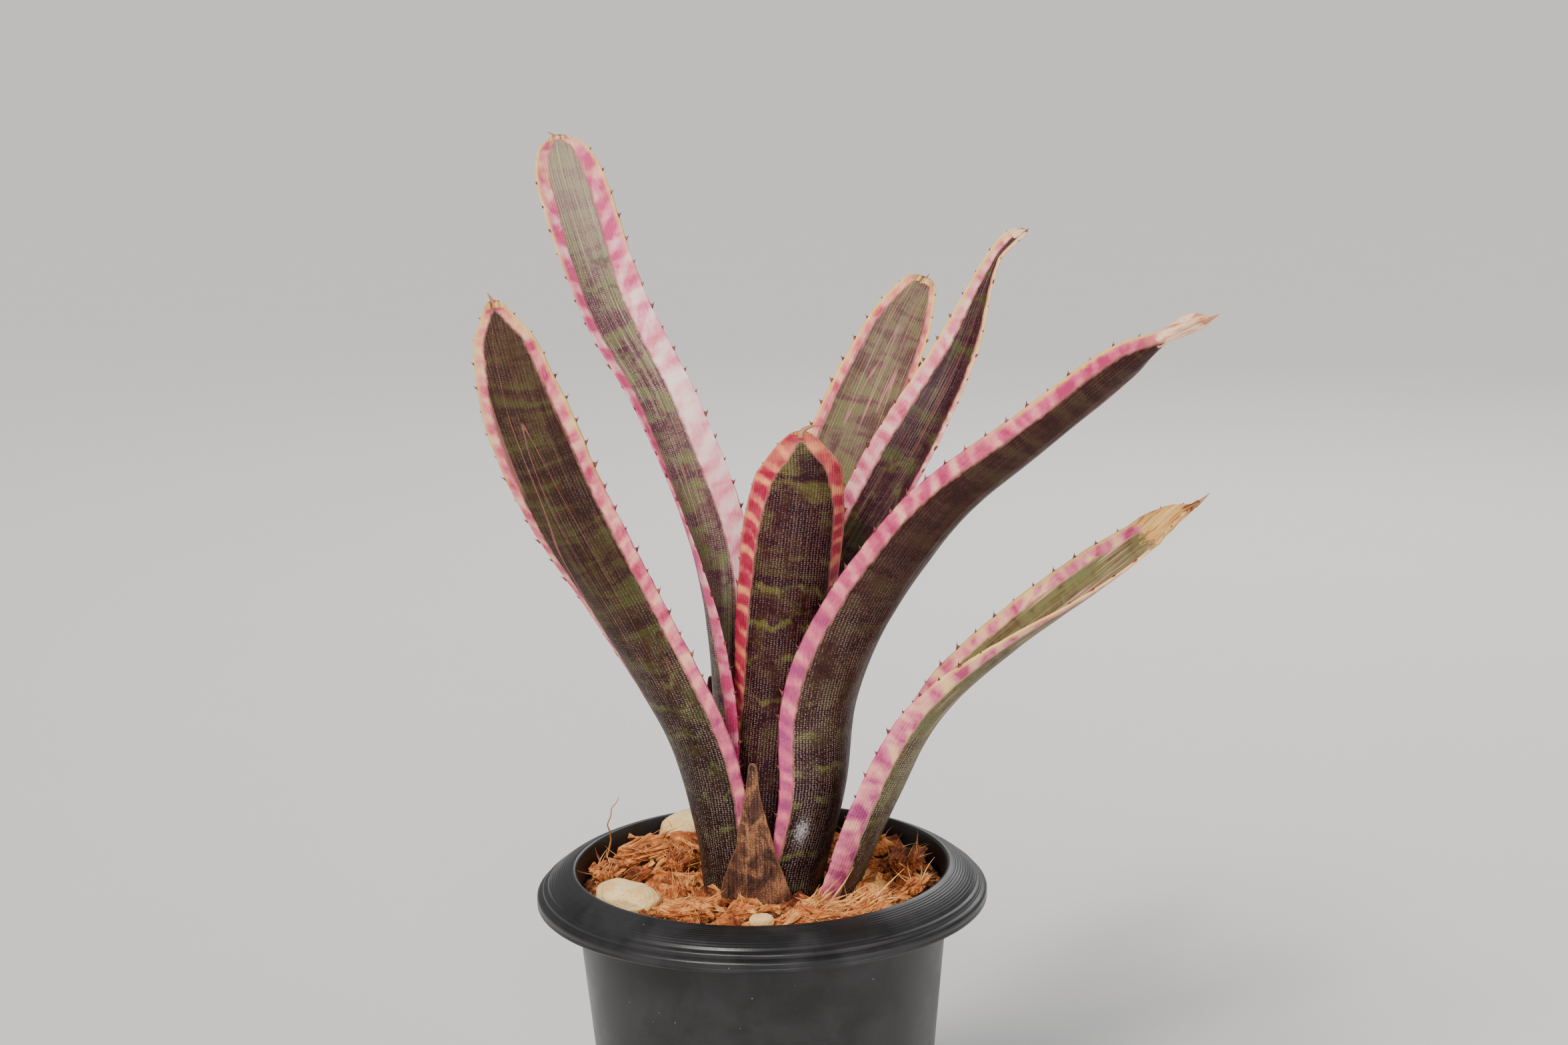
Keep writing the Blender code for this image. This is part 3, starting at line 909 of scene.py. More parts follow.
@dataclass(frozen=True)
class LeafFinish:
    """A banded leaf's skin.

    The middle of the blade is mottled in cross patches with long veins and rows of pale scurf
    dots; the margins are a coloured band with paler cross bars; the tip may be dry.
    """

    name: str
    dark: Triple = (0.040, 0.017, 0.014)
    mid: Triple = (0.085, 0.048, 0.028)
    green: Triple = (0.085, 0.088, 0.024)
    mottle: float = 1.0
    # foot: the leaf's own purple-brown base tint, darkened further as painted shade low in the
    # rosette
    foot: Triple = (0.022, 0.009, 0.009)
    foot_tint_and_shade_share: float = 0.45
    inner_gain: float = 1.25
    rib_shade: float = 0.06
    bar_colour: Triple = (0.13, 0.15, 0.035)
    bar_from: float = 0.0
    bar_to: float = 0.75
    bar_amount: float = 0.5
    crown: float = 0.0
    stripe: Triple = (0.46, 0.17, 0.13)
    stripes: float = 0.5
    stripe_rate: float = 4.2
    streak: Triple = (0.34, 0.28, 0.19)
    streaks: float = 0.15
    streak_pitch: float = 0.8
    wash: float = 0.0
    deep: Triple = (0.36, 0.030, 0.085)
    pink: Triple = (0.62, 0.15, 0.22)
    pale: Triple = (0.86, 0.50, 0.46)
    cream: Triple = (0.88, 0.66, 0.34)
    mauve: Triple = (0.24, 0.055, 0.14)
    mauve_share: float = 0.45
    bar_pitch: float = 4.6
    bar_contrast: float = 0.22
    blotch_contrast: float = 1.1
    pale_bias: float = 0.0
    top_deep: float = 0.0
    far_deep: float = 0.0
    gold: Triple = (0.93, 0.68, 0.15)
    gold_from: float = 0.72
    scale: Triple = (0.64, 0.50, 0.44)
    outer_dots: float = 0.7
    inner_dots: float = 0.35
    dots_top: float = 0.5
    dot_row: float = 0.66
    dot_step: float = 0.45
    chalk: Triple = (0.74, 0.72, 0.74)
    crust_at: tuple[float, float] = (0.0, 0.0)
    crust_size: tuple[float, float] = (2.2, 4.5)
    crust: float = 0.0
    dry: Triple = (0.62, 0.36, 0.14)
    dry_dark: Triple = (0.20, 0.070, 0.026)
    dry_length: float = 2.0
    sheen: float = 0.42
    relief: float = 0.075
    cross_bar_pitch: float = 7.5
    seed: float = 0.0

    def ribs(self, mat: BladeSkin) -> Wire:
        """Return the fine ribs between the rows of dots, from -1 to 1."""
        return mat.sum("SINE", mat.across * (TURN / self.dot_row))

    def cross_bars(self, mat: BladeSkin) -> Wire:
        """Return the broken cross bars on the middle of the blade, 1 on a bar.

        Args:
            mat: The skin under construction.

        Returns:
            The share of the bars' colour.
        """
        wander, broken = mat.weave(0.20, 0.03, 3.0), mat.weave(0.28, 0.2, 5.0, 3.0, 0.6)
        bar = mat.sum("SINE", mat.along * (TURN / self.cross_bar_pitch) + wander * (3 * pi))
        window = (mat.span(mat.share, self.bar_from, self.bar_from + 0.08)
                  * mat.span(mat.share, self.bar_to, self.bar_to - 0.08))
        return mat.span(bar, 0.62, 0.98) * mat.span(broken, 0.42, 0.60) * window

    def middle(self, mat: BladeSkin) -> tuple[Wire, Wire]:
        """Colour the blade between its margins.

        Args:
            mat: The skin under construction.

        Returns:
            The colour, and the veins' height.
        """
        patches = mat.weave(0.10, 0.26, 0.0, 3.0, 0.58, 0.6)
        strands = mat.weave(1 / self.streak_pitch, 0.035, 1.0, 3.0, 0.6)
        veins = mat.noise(mat.fan(15.0, 0.035), 1.0, 3.0, 0.55)
        level = patches * self.mottle + strands * 0.42 + veins * 0.24 + (0.17 - self.mottle / 2)
        colour = mat.ramp(level, ((0.40, self.dark), (0.52, self.mid), (0.63, self.green)))
        pale = mat.span(strands, 0.54, 0.70) * mat.span(mat.share, 0.25, 0.65, 0.4, 1.0)
        colour = mat.mix(pale * self.streaks, colour, self.streak)
        lines = mat.noise(mat.fan(self.stripe_rate, 0.008, 7.0), 1.0, 1.0)
        thin = mat.span(mat.sum("ABSOLUTE", lines - 0.5), 0.0043 * self.stripe_rate,
                        0.0007 * self.stripe_rate)
        thin = thin * mat.span(mat.share, 0.30, 0.60, 0.0, self.stripes)
        colour = mat.mix(thin, colour, self.stripe)
        washed = strands * 1.1 + mat.span(mat.share, 0.60, 0.98) * 0.75
        colour = mat.mix(mat.span(washed, 0.75, 1.40, 0.0, self.wash), colour, self.streak)
        # Painted shade: the colour darkens to the foot colour towards the root; partly the leaf's
        # own base tint, partly painted shade low in the rosette.
        foot = mat.span(mat.share + patches * 0.3 - 0.15, self.foot_tint_and_shade_share, self.foot_tint_and_shade_share * 0.35)
        colour = mat.mix(foot * 0.85, colour, self.foot)
        colour = mat.mix(self.cross_bars(mat) * self.bar_amount, colour, self.bar_colour)
        if self.crown:
            crown = mat.span(mat.share + patches * 0.5 - 0.25, 0.86, 1.00, 0.0, self.crown)
            colour = mat.mix(crown, colour, self.bar_colour)
        lift = (mat.span(mat.inner, 0.3, 0.7, 1.0, self.inner_gain)
                * mat.span(self.ribs(mat), -1.0, 1.0, 1 - self.rib_shade, 1 + self.rib_shade))
        return mat.mix(1.0, colour, lift, "MULTIPLY"), veins

    def margin(self, mat: BladeSkin) -> Wire:
        """Colour the band along the margins in cross bars.

        Args:
            mat: The skin under construction.

        Returns:
            The colour.
        """
        wander = mat.weave(0.16, 0.07, 11.0, 1.0)
        phase = (mat.along * (TURN / self.bar_pitch) + wander * (2.6 * pi)
                 + mat.edge * mat.edge * 0.14)
        bars = mat.span(mat.sum("SINE", phase), -0.6, 1.15)
        blotch = mat.weave(0.10, 0.25, 13.0, 2.0, 0.5, 0.4)
        fine = mat.weave(1.5, 0.6, 15.0, 2.0, 0.6)
        far = mat.span(mat.spread, 0.0, 0.3) * mat.span(mat.share, 0.90, 0.70)
        base = 0.32 + self.pale_bias - self.blotch_contrast / 2 - 0.4 * self.bar_contrast
        level = (bars * self.bar_contrast + blotch * self.blotch_contrast + fine * 0.36
                 - mat.span(mat.share, 0.74, 0.86) * self.top_deep - far * self.far_deep + base)
        bright = mat.ramp(level, ((0.24, self.deep), (0.47, self.pink), (0.74, self.pale),
                                  (0.92, self.cream)))
        low = mat.ramp(level, ((0.30, self.mauve), (0.62, self.pink), (0.90, self.pale)))
        risen = mat.span(mat.share, self.mauve_share, self.mauve_share + 0.25)
        colour = mat.mix(risen, low, bright)
        rim = (mat.span(mat.edge + fine * 1.6, 2.1, 0.9)
               * mat.span(mat.share, self.gold_from - 0.1, self.gold_from + 0.1))
        top = mat.span(mat.share, 0.88, 0.98) * mat.span(blotch, 0.38, 0.58)
        return mat.mix(mat.sum("MAXIMUM", rim * 0.75, top * 0.35), colour, self.gold)

    def scurf(self, mat: BladeSkin) -> Wire:
        """Return the rows of pale dots, 1 on a dot.

        Args:
            mat: The skin under construction.

        Returns:
            The share of the dots' colour.
        """
        grid = mat.sheet(1 / self.dot_row, 1 / self.dot_step)
        dots = mat.span(mat.cells(grid, 0.35), 0.36, 0.12)
        chosen = mat.split(mat.cells(grid, 0.35, "Color"))[0]
        level = chosen * 0.5 + mat.weave(0.30, 0.10, 19.0, 3.0, 0.6) * 2.2 - 0.65
        return (dots * mat.span(level, 0.25, 1.05)
                * mat.span(mat.inner, 0.3, 0.7, self.outer_dots, self.inner_dots)
                * mat.span(mat.share, 0.28, 0.60, 1.0, self.dots_top))

    def chalky(self, mat: BladeSkin) -> Wire:
        """Return the one chalky crust on the blade, 1 inside it.

        Args:
            mat: The skin under construction.

        Returns:
            The share of the crust's colour.
        """
        reach = mat.vector((mat.across - self.crust_at[0]) / self.crust_size[0],
                           (mat.along - self.crust_at[1]) / self.crust_size[1])
        gap = mat.reckon("LENGTH", {0: reach}, "Value")
        grain = mat.noise(mat.vector(mat.across * 3.2, mat.along * 1.6), 1.0, 4.0, 0.85)
        return mat.span(grain * 2.4 - gap * 0.50, 0.78, 1.20)

    def material(self, length: float) -> Material:
        """Build the skin of a blade of that length.

        Args:
            length: The blade's length in millimetres.

        Returns:
            The finished material.
        """
        mat = BladeSkin(self.name, length, self.seed)
        middle, veins = self.middle(mat)
        ragged = mat.weave(0.6, 0.38, 17.0, 3.0, 0.6)
        inside = mat.read("rim") + ragged * 1.2 - 0.6
        band = mat.span(inside, -0.25, 0.35)
        seam = mat.span(mat.sum("ABSOLUTE", inside), 0.50, 0.05) * 0.40
        colour = mat.mix(seam, mat.mix(band, middle, self.margin(mat)), self.stripe)
        scurf = self.scurf(mat) * mat.span(band, 0.0, 1.0, 1.0, 0.38)
        colour = mat.mix(scurf, colour, self.scale)
        if self.crust:
            colour = mat.mix(self.chalky(mat) * self.crust, colour, self.chalk)
        end = self.dry_length
        dry = mat.span(mat.tip + ragged * (0.8 * end) - 0.4 * end, end * 1.06, end * 0.94)
        crisp = mat.weave(0.9, 0.12, 23.0, 4.0, 0.65, 0.5)
        burnt = mat.span(mat.tip, end * 0.40, end * 0.10, 0.0, 0.12)
        papery = mat.ramp(crisp - burnt, ((0.34, self.dry_dark), (0.48, self.dry),
                                          (0.70, self.cream)))
        rough = (mat.span(ragged, 0.3, 0.7, self.sheen - 0.05, self.sheen + 0.07)
                 + (scurf + dry) * 0.28)
        mat.bump(self.ribs(mat) * 0.25 + veins * 0.9 + scurf * 0.5 + crisp * dry * 1.6,
                 self.relief)
        return mat.dress(mat.mix(dry, colour, papery), rough, Specular_IOR_Level=0.15,
                         Subsurface_Weight=0.08, Subsurface_Scale=0.0012,
                         Subsurface_Radius=(1.0, 0.35, 0.25))


# -------------------------------------------------------------------------------- pot and growing
@dataclass
class Pot:
    """The turned nursery pot with its stepped, ribbed rim and drained floor.

    `steps` are the points of the stepped rim from its inside out and up, each by how far it lies
    in from the rim's radius and down from the lip.
    """

    height: float = 85.0
    rim_radius: float = 50.0
    mouth_radius: float = 41.2
    base_radius: float = 34.0
    wall: float = 0.9
    floor: float = 1.2
    foot_chamfer: float = 1.5
    drains: int = 6
    drain_radius: float = 3.5
    drain_circle: float = 22.0
    drain_turn: float = 13.0
    sides: int = 192
    ribs: int = 34
    rib_pitch: float = 0.62
    rib_depth: float = 0.07
    steps: Pairs = (
        (1.2, 6.3), (1.2, 7.45), (1.0, 7.6), (0.25, 7.6), (0.0, 7.35), (0.02, 6.9), (0.1, 6.7),
        (0.0, 6.5), (0.0, 5.75), (0.12, 5.45), (0.5, 5.12), (1.05, 4.95), (1.28, 4.82),
        (1.32, 4.5), (1.36, 4.1), (1.55, 3.88), (2.0, 3.74), (2.32, 3.62), (2.5, 3.45),
        (2.62, 3.15))
    finish: PotPlastic = field(default_factory=PotPlastic)

    def wall_radius(self, height: float) -> float:
        """Return the outside radius of the tapered wall at a height."""
        return (self.base_radius + (self.mouth_radius + self.wall - self.base_radius)
                * height / self.height)

    def inner_radius(self, height: float) -> float:
        """Return the inside radius of the tapered wall at a height."""
        return self.wall_radius(height) - self.wall

    def rim_slope(self) -> list[tuple[float, float]]:
        """Work out the rim's ribbed upper slope, from the steps in to the lip.

        Returns:
            Pairs of radius and height.
        """
        low = np.array((self.rim_radius - 2.8, self.height - 2.9))
        run = np.array((self.mouth_radius + 1.7, self.height - 0.25)) - low
        slope = []
        for k in range(self.ribs + 1):
            t = k / self.ribs
            rib = self.rib_depth * (0.5 - 0.5 * cos(TURN * t * hypot(*run) / self.rib_pitch))
            radius, height = low + run * t
            slope.append((radius, height + 0.22 * sin(pi * t) - rib * (1 if k % 5 else 0.4)))
        return slope

    def outline(self) -> list[tuple[float, float]]:
        """Work out the turned outline, from the floor's middle all the way round.

        Returns:
            Pairs of radius and height.
        """
        lip, mouth, rings = self.height, self.mouth_radius, (0.0, 8.0, 16.0, 28.0)
        wall = [(self.wall_radius(h), h) for h in np.linspace(self.foot_chamfer, lip - 2.6, 24)]
        inside = [(self.inner_radius(h), h) for h in np.linspace(lip - 3, self.floor + 1.2, 20)]
        corner = self.inner_radius(self.floor)
        return [
            *((r, 0.0) for r in rings), (self.base_radius - self.foot_chamfer, 0.0), *wall,
            (self.wall_radius(lip - 2.2) + 0.15, lip - 2.35), (self.rim_radius - 3.4, lip - 4.2),
            *((self.rim_radius - inward, lip - down) for inward, down in self.steps),
            *self.rim_slope(),
            *((mouth + 1.6 - 0.25 * k, lip - 0.25 + 0.25 * sin(pi * min(k, 3) / 6))
              for k in range(1, 5)),
            (mouth + 0.35, lip - 0.06), (mouth + 0.12, lip - 0.22),
            (self.inner_radius(lip - 0.6), lip - 0.6), *inside, (corner - 0.3, self.floor + 0.35),
            (corner - 1.1, self.floor), *((r, self.floor) for r in rings[::-1])]

    def turning_tree(self) -> Growth:
        """Make the tree that turns an outline round the Z axis.

        Returns:
            The tree, for an object that holds the outline's points.
        """
        tree = Growth("turned_pot", Outline_Points=100, Sides=64, Weld=1e-6)
        columns = tree.given("Sides") + 1.0
        sheet = tree.make("GeometryNodeMeshGrid", {"Vertices X": tree.given("Outline Points"),
                                                   "Vertices Y": columns})
        index = tree.make("GeometryNodeInputIndex", {})
        row = tree.sum("FLOOR", (index + 0.5) / columns)
        angle = (index - row * columns) / tree.given("Sides") * TURN
        outline = {"Geometry": tree.given("Geometry"), "Index": row,
                   "Value": tree.make("GeometryNodeInputPosition", {})}
        radius, _, height = tree.split(tree.make("GeometryNodeSampleIndex", outline,
                                                 data_type="FLOAT_VECTOR", domain="POINT"))
        place = tree.vector(radius * tree.sum("COSINE", angle), radius * tree.sum("SINE", angle),
                            height)
        turned = tree.make("GeometryNodeSetPosition", {"Geometry": sheet, "Position": place})
        return tree.finish(tree.make("GeometryNodeMergeByDistance",
                                     {"Geometry": turned, "Distance": tree.given("Weld")}))

    def bore_drains(self, shell: Thing) -> Thing:
        """Cut the drain holes through the floor.

        Args:
            shell: The turned pot, which is removed.

        Returns:
            The bored pot.
        """
        work = bmesh.new()
        for hole in range(self.drains):
            turn = TURN * hole / self.drains + radians(self.drain_turn)
            middle = Vector((self.drain_circle * cos(turn), self.drain_circle * sin(turn),
                             self.floor / 2))
            bmesh.ops.create_cone(work, cap_ends=True, segments=40,
                                  radius1=self.drain_radius * MM, radius2=self.drain_radius * MM,
                                  depth=self.floor * 4 * MM,
                                  matrix=Matrix.Translation(middle * MM))
        mesh = bpy.data.meshes.new("drain_cutters")
        work.to_mesh(mesh)
        work.free()
        cutter = put("drain_cutters", mesh)
        cut = shell.modifiers.new("drains", "BOOLEAN")
        cut.operation, cut.object = "DIFFERENCE", cutter
        bored = put("pot_shell", baked(shell, "pot_shell"))
        for used in (shell, cutter):
            bpy.data.objects.remove(used)
        return bored

    def build(self) -> None:
        """Turn, bore and dress the pot."""
        outline = self.outline()
        profile = new_object("pot_outline", [(r, 0.0, z) for r, z in outline], [])
        shell = self.turning_tree().grow(
            profile, "pot_turned", Outline_Points=len(outline), Sides=self.sides, Weld=1e-6,
            Material=self.finish.material())
        bpy.data.objects.remove(profile)
        tidy_normals(shell)
        bored = self.bore_drains(shell)
        bored.data.shade_smooth()
        bored.data.set_sharp_from_angle(angle=radians(40))
        settle(bored, Slot.POT, "pot")


@dataclass
class Bed:
    """The block of coconut husk, with a rough, heaped top that meets the leaf bases."""

    pot: Pot
    fill_depth: float = 6.0
    heap: float = 2.6
    mouth: float = 12.0
    gap: float = 0.3
    rings: int = 84
    sides: int = 300
    finish: HuskFinish = field(default_factory=lambda: HuskFinish(
        "coir_bed", dark=(0.030, 0.009, 0.004), warm=(0.17, 0.050, 0.015)))

    @property
    def level(self) -> float:
        """Return the height of the husk at the plant and at the wall."""
        return self.pot.height - self.fill_depth

    @property
    def edge(self) -> float:
        """Return the husk's radius at its top."""
        return self.pot.inner_radius(self.level) - self.gap

    def height(self, x: Array, y: Array) -> Array:
        """Work out the smooth heaped surface.

        Args:
            x: Places to the right, in millimetres.
            y: Places to the back.

        Returns:
            The heights.
        """
        azimuth, radius = np.arctan2(y, x), np.hypot(x, y)
        share = np.clip((self.edge - radius) / (self.edge - self.mouth), 0.0, 1.0)
        mound = 0.60 + 0.45 * np.cos(azimuth - radians(160)) + 0.30 * np.sin(3 * azimuth + 0.6)
        return self.level + self.heap * mound * np.sin(pi * share)

    def roughness(self, x: Array, y: Array) -> Array:
        """Work out how far torn husk stands above or below the smooth surface.

        Args:
            x: Places to the right, in millimetres.
            y: Places to the back.

        Returns:
            The heights above the smooth surface.
        """
        warp = 2.4 * ripple(x * 0.11, y * 0.11, 5)
        lumps = 0.95 * ripple(x * 0.22 + warp, y * 0.22 - warp, 1)
        strands = (0.40 * ripple(x * 0.9 + 2 * warp, y * 0.35, 2)
                   + 0.30 * ripple(x * 0.4, y * 1.1 - warp, 3))
        return lumps + strands + 0.16 * ripple(x * 2.3, y * 2.3, 4)

    def surface(self, name: str) -> Thing:
        """Make the closed, displaced block of husk.

        Args:
            name: The object's name.

        Returns:
            The block, with what its finish and the litter read.
        """
        turns = np.arange(self.sides) * TURN / self.sides
        circle = np.stack([np.cos(turns), np.sin(turns)], axis=1)
        floor = self.pot.floor + self.gap
        rings = [np.c_[circle * radius, np.full(self.sides, height)] for radius, height in (
            (self.pot.inner_radius(floor) - self.gap, floor), (self.edge - 0.2, self.level - 2.5))]
        for share in np.arange(self.rings) / self.rings:
            x, y = (circle * ((self.edge - 0.1) * (1 - share) + 0.4 * share)).T
            rings.append(np.c_[x, y, self.height(x, y) + self.roughness(x, y)])
        points, faces = stack(rings, (0, 0, floor), (0, 0, rings[-1][:, 2].mean()))
        thing = new_object(name, points, faces)
        x, y, z = points.T
        radius, whirl = np.hypot(x, y), 3.0 * ripple(x * 0.09, y * 0.09, 12)
        mark(thing, local=points, tint=0.15 + 0.25 * ripple(x * 0.12, y * 0.12, 9),
             loose=(z > self.level - 2) & (radius > 9), inset=self.edge - radius,
             grain=np.stack([np.cos(whirl), np.sin(whirl), np.zeros_like(whirl)], axis=1))
        return thing

    def build(self) -> None:
        """Make and dress the husk block."""
        settle(self.surface("husk_bed"), Slot.COIR, "growing_medium",
               skin=self.finish.material())


def lay_down(points: Array, node: str, heading: float, tilt: float, sink: float = 0.4) -> Array:
    """Put a loose piece where one of the part's solids lies.

    Args:
        points: The piece's points, round the origin.
        node: The solid's name.
        heading: The piece's turn about the vertical, in degrees.
        tilt: Its tilt along its length, in degrees.
        sink: How far it is pushed into the husk.

    Returns:
        The points in their place.
    """
    low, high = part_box(node)
    middle = (np.array(low) + np.array(high)) / 2 / MM
    h, t = radians(heading), radians(tilt)
    x = points[:, 0] * cos(t) - points[:, 2] * sin(t)
    z = points[:, 0] * sin(t) + points[:, 2] * cos(t)
    y = points[:, 1]
    return middle + np.stack([x * cos(h) - y * sin(h), x * sin(h) + y * cos(h), z - sink], axis=1)


def slab(size: Triple, seed: int, columns: int, rows: int) -> Shape:
    """Make a torn slab that lies flat at the origin, strands along X.

    Args:
        size: Its length along the strands, its width and its thickness.
        seed: Picks its ragged shape.
        columns: Steps along it.
        rows: Steps across it.

    Returns:
        Its points and faces; the two faces' edges lie on each other, ready to be merged.
    """
    length, width, thick = size
    u, v = np.meshgrid(np.linspace(-1, 1, columns + 1), np.linspace(-1, 1, rows + 1),
                       indexing="ij")
    torn = (0.80 + 0.20 * ripple(v * width * 0.55, np.sign(u) * 3.0, seed)
            + 0.10 * ripple(v * width * 1.3, np.sign(u) * 3.0, seed + 1))
    chew = 0.86 + 0.14 * ripple(u * length * 0.3, np.sign(v) * 2.0, seed + 2)
    x = u * length / 2 * (1 - (1 - torn) * np.abs(u) ** 2)
    y = v * width / 2 * chew * (1 - 0.25 * np.abs(u) ** 3)
    plump = np.clip((1 - u**8) * (1 - v**8), 0.0, 1.0) ** 0.5
    bow = 0.25 * thick * (v * v + u * u * ripple(u * 0.7, v * 0.7, seed + 3))
    strands = (0.16 * ripple(y * 1.2 + 0.35 * ripple(u * 1.4, v, seed + 4), u, seed + 5)
               + 0.10 * ripple(y * 2.6, u * 2.2, seed + 6))
    half = 0.5 * thick * plump * (0.80 + 0.30 * ripple(u * 1.9, v * 1.7, seed + 7))
    relief = strands * min(thick, 2.5) * plump
    points = np.concatenate([np.stack([x, y, z], -1).reshape(-1, 3)
                             for z in (bow + half + relief, bow - half + 0.6 * relief)])
    under, step, faces = len(points) // 2, rows + 1, []
    for a in (i * step + j for i in range(columns) for j in range(rows)):
        faces += [(a, a + step, a + step + 1, a + 1),
                  (under + a, under + a + 1, under + a + step + 1, under + a + step)]
    return points, faces


@dataclass(frozen=True)
class Chip:
    """One torn slab of husk: its size and how it lies."""

    number: int
    length: float
    width: float
    thick: float
    heading: float
    tilt: float
    tint: float
    strips: int = 22

    def layers(self) -> tuple[Array, list, Array]:
        """Make the chip lying flat at the origin: a slab with torn strips lying along it.

        Returns:
            Its points, its faces, and each point's brightness.
        """
        draw = random.Random(self.number)
        points, faces = slab((self.length * 0.92, self.width * 0.92, self.thick * 0.72),
                             40 + self.number * 7, 40, 20)
        parts, tints = [points], [np.full(len(points), self.tint)]
        for k in range(self.strips):
            y, z = draw.uniform(-0.42, 0.42) * self.width, draw.uniform(-0.1, 0.42) * self.thick
            size = (draw.uniform(0.35, 0.85) * self.length, draw.uniform(0.7, 2.4),
                    draw.uniform(0.45, 0.95))
            strip, more = slab(size, 500 + self.number * 31 + k, 14, 5)
            turn = Matrix.Identity(3)
            for axis, spread in (("Z", 0.16), ("Y", 0.12), ("X", 0.45)):
                turn = turn @ Matrix.Rotation(draw.gauss(0, spread), 3, axis)
            strip = strip @ np.array(turn).T + (draw.uniform(-0.2, 0.2) * self.length, y, z)
            base = sum(len(part) for part in parts)
            faces += [tuple(base + i for i in face) for face in more]
            parts.append(strip)
            tints.append(np.full(len(strip), min(max(self.tint + draw.gauss(0, 0.22), 0), 1)))
        return np.concatenate(parts), faces, np.concatenate(tints)

    def build(self, skin: Material, edge: float) -> Thing:
        """Place and dress the chip where the part's own chip lies.

        Args:
            skin: The husk's material.
            edge: The radius of the bed that it lies in.

        Returns:
            The chip.
        """
        node = "husk_chip_%02d" % self.number
        points, faces, tints = self.layers()
        placed = lay_down(points, node, self.heading, self.tilt)
        thing = new_object("chip_%02d" % self.number, placed, faces)
        heading = radians(self.heading)
        mark(thing, local=points + (self.number * 17.0, self.number * 5.0, 0.0), tint=tints,
             loose=points[:, 2] > 0, inset=edge - np.hypot(placed[:, 0], placed[:, 1]),
             grain=np.tile((cos(heading), sin(heading), 0.1), (len(points), 1)))
        tidy_normals(thing, 0.01)
        thing.data.set_sharp_from_angle(angle=radians(35))
        settle(thing, Slot.CHIP, node, skin=skin)
        return thing


